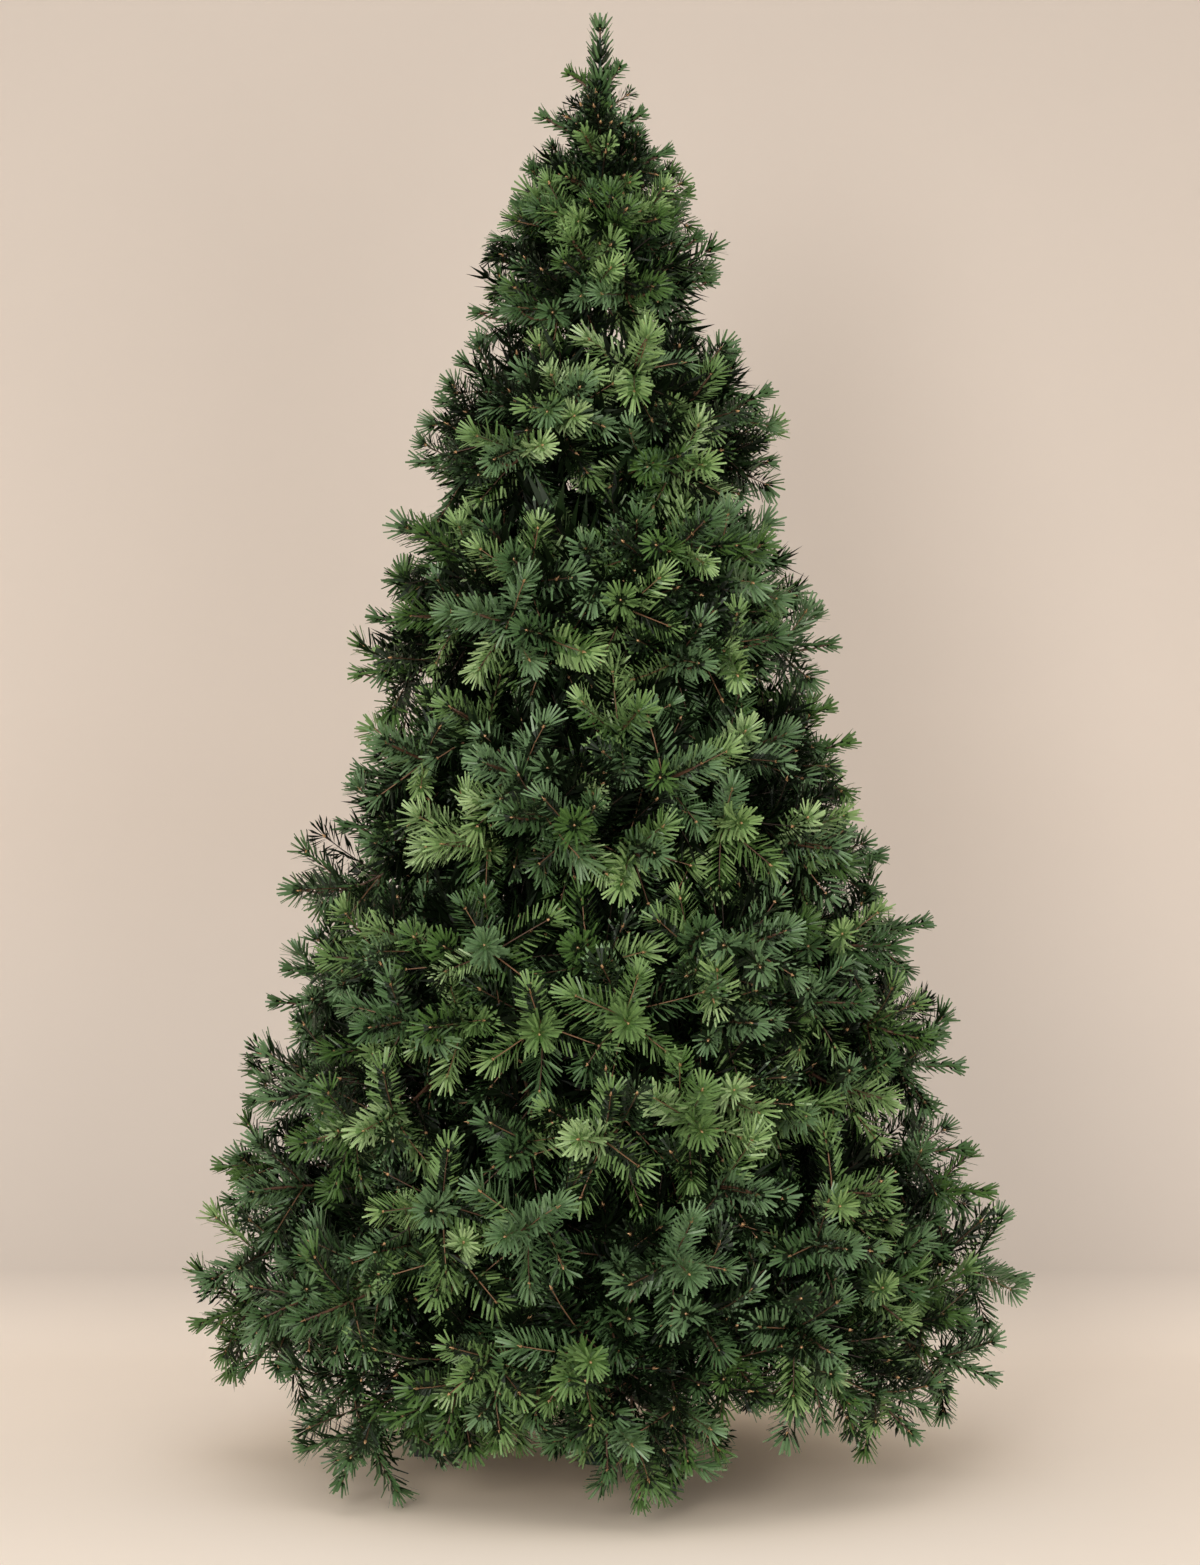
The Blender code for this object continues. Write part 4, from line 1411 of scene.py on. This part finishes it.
class CHRISTMAS_TREE_OT_stand(bpy.types.Operator):
    """Adds the stand: its socket, eye screws and three legs with rubber caps"""

    bl_idname = "christmas_tree.stand"
    bl_label = "Stand"

    def execute(self, context):
        coat = coat_material("stand_coat")
        socket = Gathered()
        socket.add(*turned(socket_profile(), SOCKET_SIDES))
        adopt(socket.make("stand_socket_visual", [coat], smooth=True), "stand", "stand_socket")
        legs = sorted(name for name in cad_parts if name.startswith("stand_leg_"))
        screws = Gathered()
        rubber = rubber_material()
        for name in legs:
            corners = frame_corners(name).mean(axis=0)
            heading = math.degrees(math.atan2(corners[0], -corners[1]))
            for part in eye_screw(heading + 180.0 / len(legs)):
                screws.add(*part)
            leg = Gathered()
            for tint, part in enumerate(leg_parts(name)):
                leg.add(*part, tint)
            adopt(leg.make(f"{name}_visual", [coat, rubber]), "stand", name)
        adopt(screws.make("eye_screws", [zinc_material()], smooth=True), "stand")
        return {"FINISHED"}


class CHRISTMAS_TREE_OT_stage(bpy.types.Operator):
    """Adds the backdrop, the soft lights and the camera"""

    bl_idname = "christmas_tree.stage"
    bl_label = "Stage"

    def execute(self, context):
        add_backdrop()
        add_lights()
        add_camera()
        return {"FINISHED"}


SHEET_FRONT = (-14.0, -4.0)  # the floor's front edge, and a cross line nearer the tree
SHEET_BEND = 0.9
SHEET_BEND_STEPS = 16
SHEET_TOP = 7.0
SHEET_SIDE = 9.0


def add_backdrop():
    """A seamless sheet: the floor, a wide curve and a wall that shows only from in front."""
    settings = stage()
    bend = SHEET_BEND
    wall = settings.wall_distance
    profile = [*((front, 0.0) for front in SHEET_FRONT), (wall - bend, 0.0)]
    for step in range(1, SHEET_BEND_STEPS + 1):
        angle = math.radians(90.0 * step / SHEET_BEND_STEPS)
        profile.append((wall - bend + bend * math.sin(angle), bend - bend * math.cos(angle)))
    profile.append((wall, SHEET_TOP))
    shape = bmesh.new()
    rows = [[shape.verts.new((x, y, z)) for x in (-SHEET_SIDE, SHEET_SIDE)] for y, z in profile]
    for (a, b), (c, d) in zip(rows, rows[1:]):
        shape.faces.new((a, b, d, c)).smooth = True
    mesh = bpy.data.meshes.new("backdrop")
    shape.to_mesh(mesh)
    shape.free()
    mesh.materials.append(backdrop_material(settings))
    sheet = bpy.data.objects.new("backdrop", mesh)
    bpy.context.scene.collection.objects.link(sheet)


PAPER_ROUGHNESS = 0.9
WALL_RISE = 0.10  # the height at which the floor's tint has become the wall's
MOTTLING_SCALE = 0.8
MOTTLING_DETAIL = 5.0
MOTTLING = (0.96, 1.04)
DARKER_WALL_HEIGHTS = (1.1, 2.5)  # between which the wall darkens upwards: painted shade for light that falls off towards the top
WALL_TOP_SHADE = (1.0, 0.84)


def backdrop_material(settings):
    """Paper that changes from the floor's tint to the wall's round the bend, with faint mottling,
    a warmer tint under the tree that paints its shadow, and painted shade darkening the wall
    upwards."""
    material = bpy.data.materials.new("backdrop_paper")
    material.use_nodes = True
    nodes, links = material.node_tree.nodes, material.node_tree.links
    shader = nodes["Principled BSDF"]
    shader.inputs["Roughness"].default_value = PAPER_ROUGHNESS
    where = nodes.new("ShaderNodeTexCoord")
    height = nodes.new("ShaderNodeSeparateXYZ")
    links.new(where.outputs["Object"], height.inputs["Vector"])
    rise = nodes.new("ShaderNodeMapRange")
    rise.inputs["From Max"].default_value = WALL_RISE
    links.new(height.outputs["Z"], rise.inputs["Value"])
    away = nodes.new("ShaderNodeVectorMath")
    away.operation = "LENGTH"
    links.new(where.outputs["Object"], away.inputs[0])
    # The warm painted shadow under the tree, fading out to its reach.
    under = nodes.new("ShaderNodeMapRange")
    under.interpolation_type = "SMOOTHSTEP"
    under.inputs["From Max"].default_value = settings.shadow_tint_reach
    links.new(away.outputs["Value"], under.inputs["Value"])
    shadow_tint_mix = nodes.new("ShaderNodeMix")
    shadow_tint_mix.data_type = "RGBA"
    shadow_tint_mix.inputs["A"].default_value = (*settings.floor_shadow_tint, 1.0)
    shadow_tint_mix.inputs["B"].default_value = (*settings.floor, 1.0)
    links.new(under.outputs["Result"], shadow_tint_mix.inputs["Factor"])
    part = nodes.new("ShaderNodeMix")
    part.data_type = "RGBA"
    part.inputs["B"].default_value = (*settings.wall, 1.0)
    links.new(shadow_tint_mix.outputs["Result"], part.inputs["A"])
    links.new(rise.outputs["Result"], part.inputs["Factor"])
    drift = nodes.new("ShaderNodeTexNoise")
    drift.inputs["Scale"].default_value = MOTTLING_SCALE
    drift.inputs["Detail"].default_value = MOTTLING_DETAIL
    links.new(where.outputs["Object"], drift.inputs["Vector"])
    shade = nodes.new("ShaderNodeMapRange")
    shade.inputs["To Min"].default_value = MOTTLING[0]
    shade.inputs["To Max"].default_value = MOTTLING[1]
    links.new(drift.outputs["Fac"], shade.inputs["Value"])
    # Painted shade: the wall darker towards its top.
    upper_wall_shade = nodes.new("ShaderNodeMapRange")
    upper_wall_shade.inputs["From Min"].default_value = DARKER_WALL_HEIGHTS[0]
    upper_wall_shade.inputs["From Max"].default_value = DARKER_WALL_HEIGHTS[1]
    upper_wall_shade.inputs["To Min"].default_value = WALL_TOP_SHADE[0]
    upper_wall_shade.inputs["To Max"].default_value = WALL_TOP_SHADE[1]
    links.new(height.outputs["Z"], upper_wall_shade.inputs["Value"])
    both = nodes.new("ShaderNodeMath")
    both.operation = "MULTIPLY"
    links.new(shade.outputs["Result"], both.inputs[0])
    links.new(upper_wall_shade.outputs["Result"], both.inputs[1])
    tint = nodes.new("ShaderNodeMix")
    tint.data_type = "RGBA"
    tint.blend_type = "MULTIPLY"
    tint.inputs["Factor"].default_value = 1.0
    links.new(part.outputs["Result"], tint.inputs["A"])
    links.new(both.outputs["Value"], tint.inputs["B"])
    links.new(tint.outputs["Result"], shader.inputs["Base Color"])
    clear = nodes.new("ShaderNodeBsdfTransparent")
    side = nodes.new("ShaderNodeNewGeometry")
    choice = nodes.new("ShaderNodeMixShader")
    links.new(side.outputs["Backfacing"], choice.inputs["Fac"])
    links.new(shader.outputs["BSDF"], choice.inputs[1])
    links.new(clear.outputs["BSDF"], choice.inputs[2])
    links.new(choice.outputs["Shader"], nodes["Material Output"].inputs["Surface"])
    return material


# The lights: where each one stands, what it points at, how wide it is and its colour
LIGHTS = {
    "key": ((-1.4, -6.2, 1.9), (0.0, 0.0, 0.55), 1.8, (1.0, 0.97, 0.94)),
    "top": ((-0.5, -1.6, 4.6), (0.0, -0.2, 0.0), 3.6, (1.0, 0.97, 0.94)),
    "fill": ((1.9, -5.6, 0.6), (0.0, 0.0, 0.2), 2.2, (1.0, 0.98, 0.96)),
}
SKY_COLOUR = (1.0, 0.97, 0.94, 1.0)
SENSOR_WIDTH = 36.0  # in millimetres


def add_light(name, power):
    place, target, size, colour = LIGHTS[name]
    data = bpy.data.lights.new(name, "AREA")
    data.shape = "DISK"
    data.size = size
    data.energy = power
    data.color = colour
    lamp = bpy.data.objects.new(name, data)
    lamp.location = place
    lamp.rotation_euler = (Vector(target) - Vector(place)).to_track_quat("-Z", "Y").to_euler()
    bpy.context.scene.collection.objects.link(lamp)


def add_lights():
    settings = stage()
    add_light("key", settings.key_power)
    add_light("top", settings.top_power)
    add_light("fill", settings.fill_power)
    world = bpy.data.worlds.new("studio")
    world.use_nodes = True
    nodes, links = world.node_tree.nodes, world.node_tree.links
    sky = nodes["Background"]
    sky.inputs["Color"].default_value = SKY_COLOUR
    where = nodes.new("ShaderNodeTexCoord")
    part = nodes.new("ShaderNodeSeparateXYZ")
    links.new(where.outputs["Generated"], part.inputs["Vector"])
    fade = nodes.new("ShaderNodeMapRange")
    fade.inputs["To Min"].default_value = settings.sky_strength
    fade.inputs["To Max"].default_value = settings.sky_strength * settings.sky_top
    links.new(part.outputs["Z"], fade.inputs["Value"])
    links.new(fade.outputs["Result"], sky.inputs["Strength"])
    bpy.context.scene.world = world
    bpy.context.scene.view_settings.view_transform = "Standard"


def add_camera():
    settings = stage()
    width, height = PHOTO_SIZE
    data = bpy.data.cameras.new("camera")
    data.sensor_fit = "AUTO"
    data.sensor_width = SENSOR_WIDTH
    data.lens = data.sensor_width * settings.focal_pixels / height
    camera = bpy.data.objects.new("camera", data)
    camera.location = (0.0, -settings.camera_distance, settings.camera_height)
    down = math.atan((height / 2 - settings.horizon_row) / settings.focal_pixels)
    camera.rotation_euler = (math.pi / 2 - down, 0.0, 0.0)
    bpy.context.scene.collection.objects.link(camera)
    bpy.context.scene.camera = camera


# Add-on

class CHRISTMAS_TREE_PT_sidebar(bpy.types.Panel):
    """The tree's settings and the buttons that add its pieces"""

    bl_idname = "CHRISTMAS_TREE_PT_sidebar"
    bl_label = "Christmas Tree"
    bl_space_type = "VIEW_3D"
    bl_region_type = "UI"
    bl_category = "Christmas Tree"

    def draw(self, context):
        for name in SETTINGS:
            box = self.layout.box()
            group = getattr(context.scene, f"christmas_tree_{name}")
            for field in group.__annotations__:
                box.prop(group, field)
        for piece in PIECES:
            self.layout.operator(piece.bl_idname)


SETTINGS = {
    "crown": CrownSettings,
    "sprigs": SprigSettings,
    "colours": ColourSettings,
    "stand": StandSettings,
    "stage": StageSettings,
}
PIECES = (
    CHRISTMAS_TREE_OT_stage,
    CHRISTMAS_TREE_OT_pole,
    CHRISTMAS_TREE_OT_stand,
    CHRISTMAS_TREE_OT_boughs,
    CHRISTMAS_TREE_OT_twigs,
    CHRISTMAS_TREE_OT_needles,
    CHRISTMAS_TREE_OT_buds,
)


def register():
    for item in (*SETTINGS.values(), *PIECES, CHRISTMAS_TREE_PT_sidebar):
        bpy.utils.register_class(item)
    for name, group in SETTINGS.items():
        setattr(bpy.types.Scene, f"christmas_tree_{name}", PointerProperty(type=group))


def unregister():
    for name in SETTINGS:
        delattr(bpy.types.Scene, f"christmas_tree_{name}")
    for item in (CHRISTMAS_TREE_PT_sidebar, *reversed(PIECES), *SETTINGS.values()):
        bpy.utils.unregister_class(item)


def main():
    register()
    for piece in PIECES:
        getattr(bpy.ops.christmas_tree, piece.bl_idname.split(".")[1])()


if __name__ == "__main__":
    main()
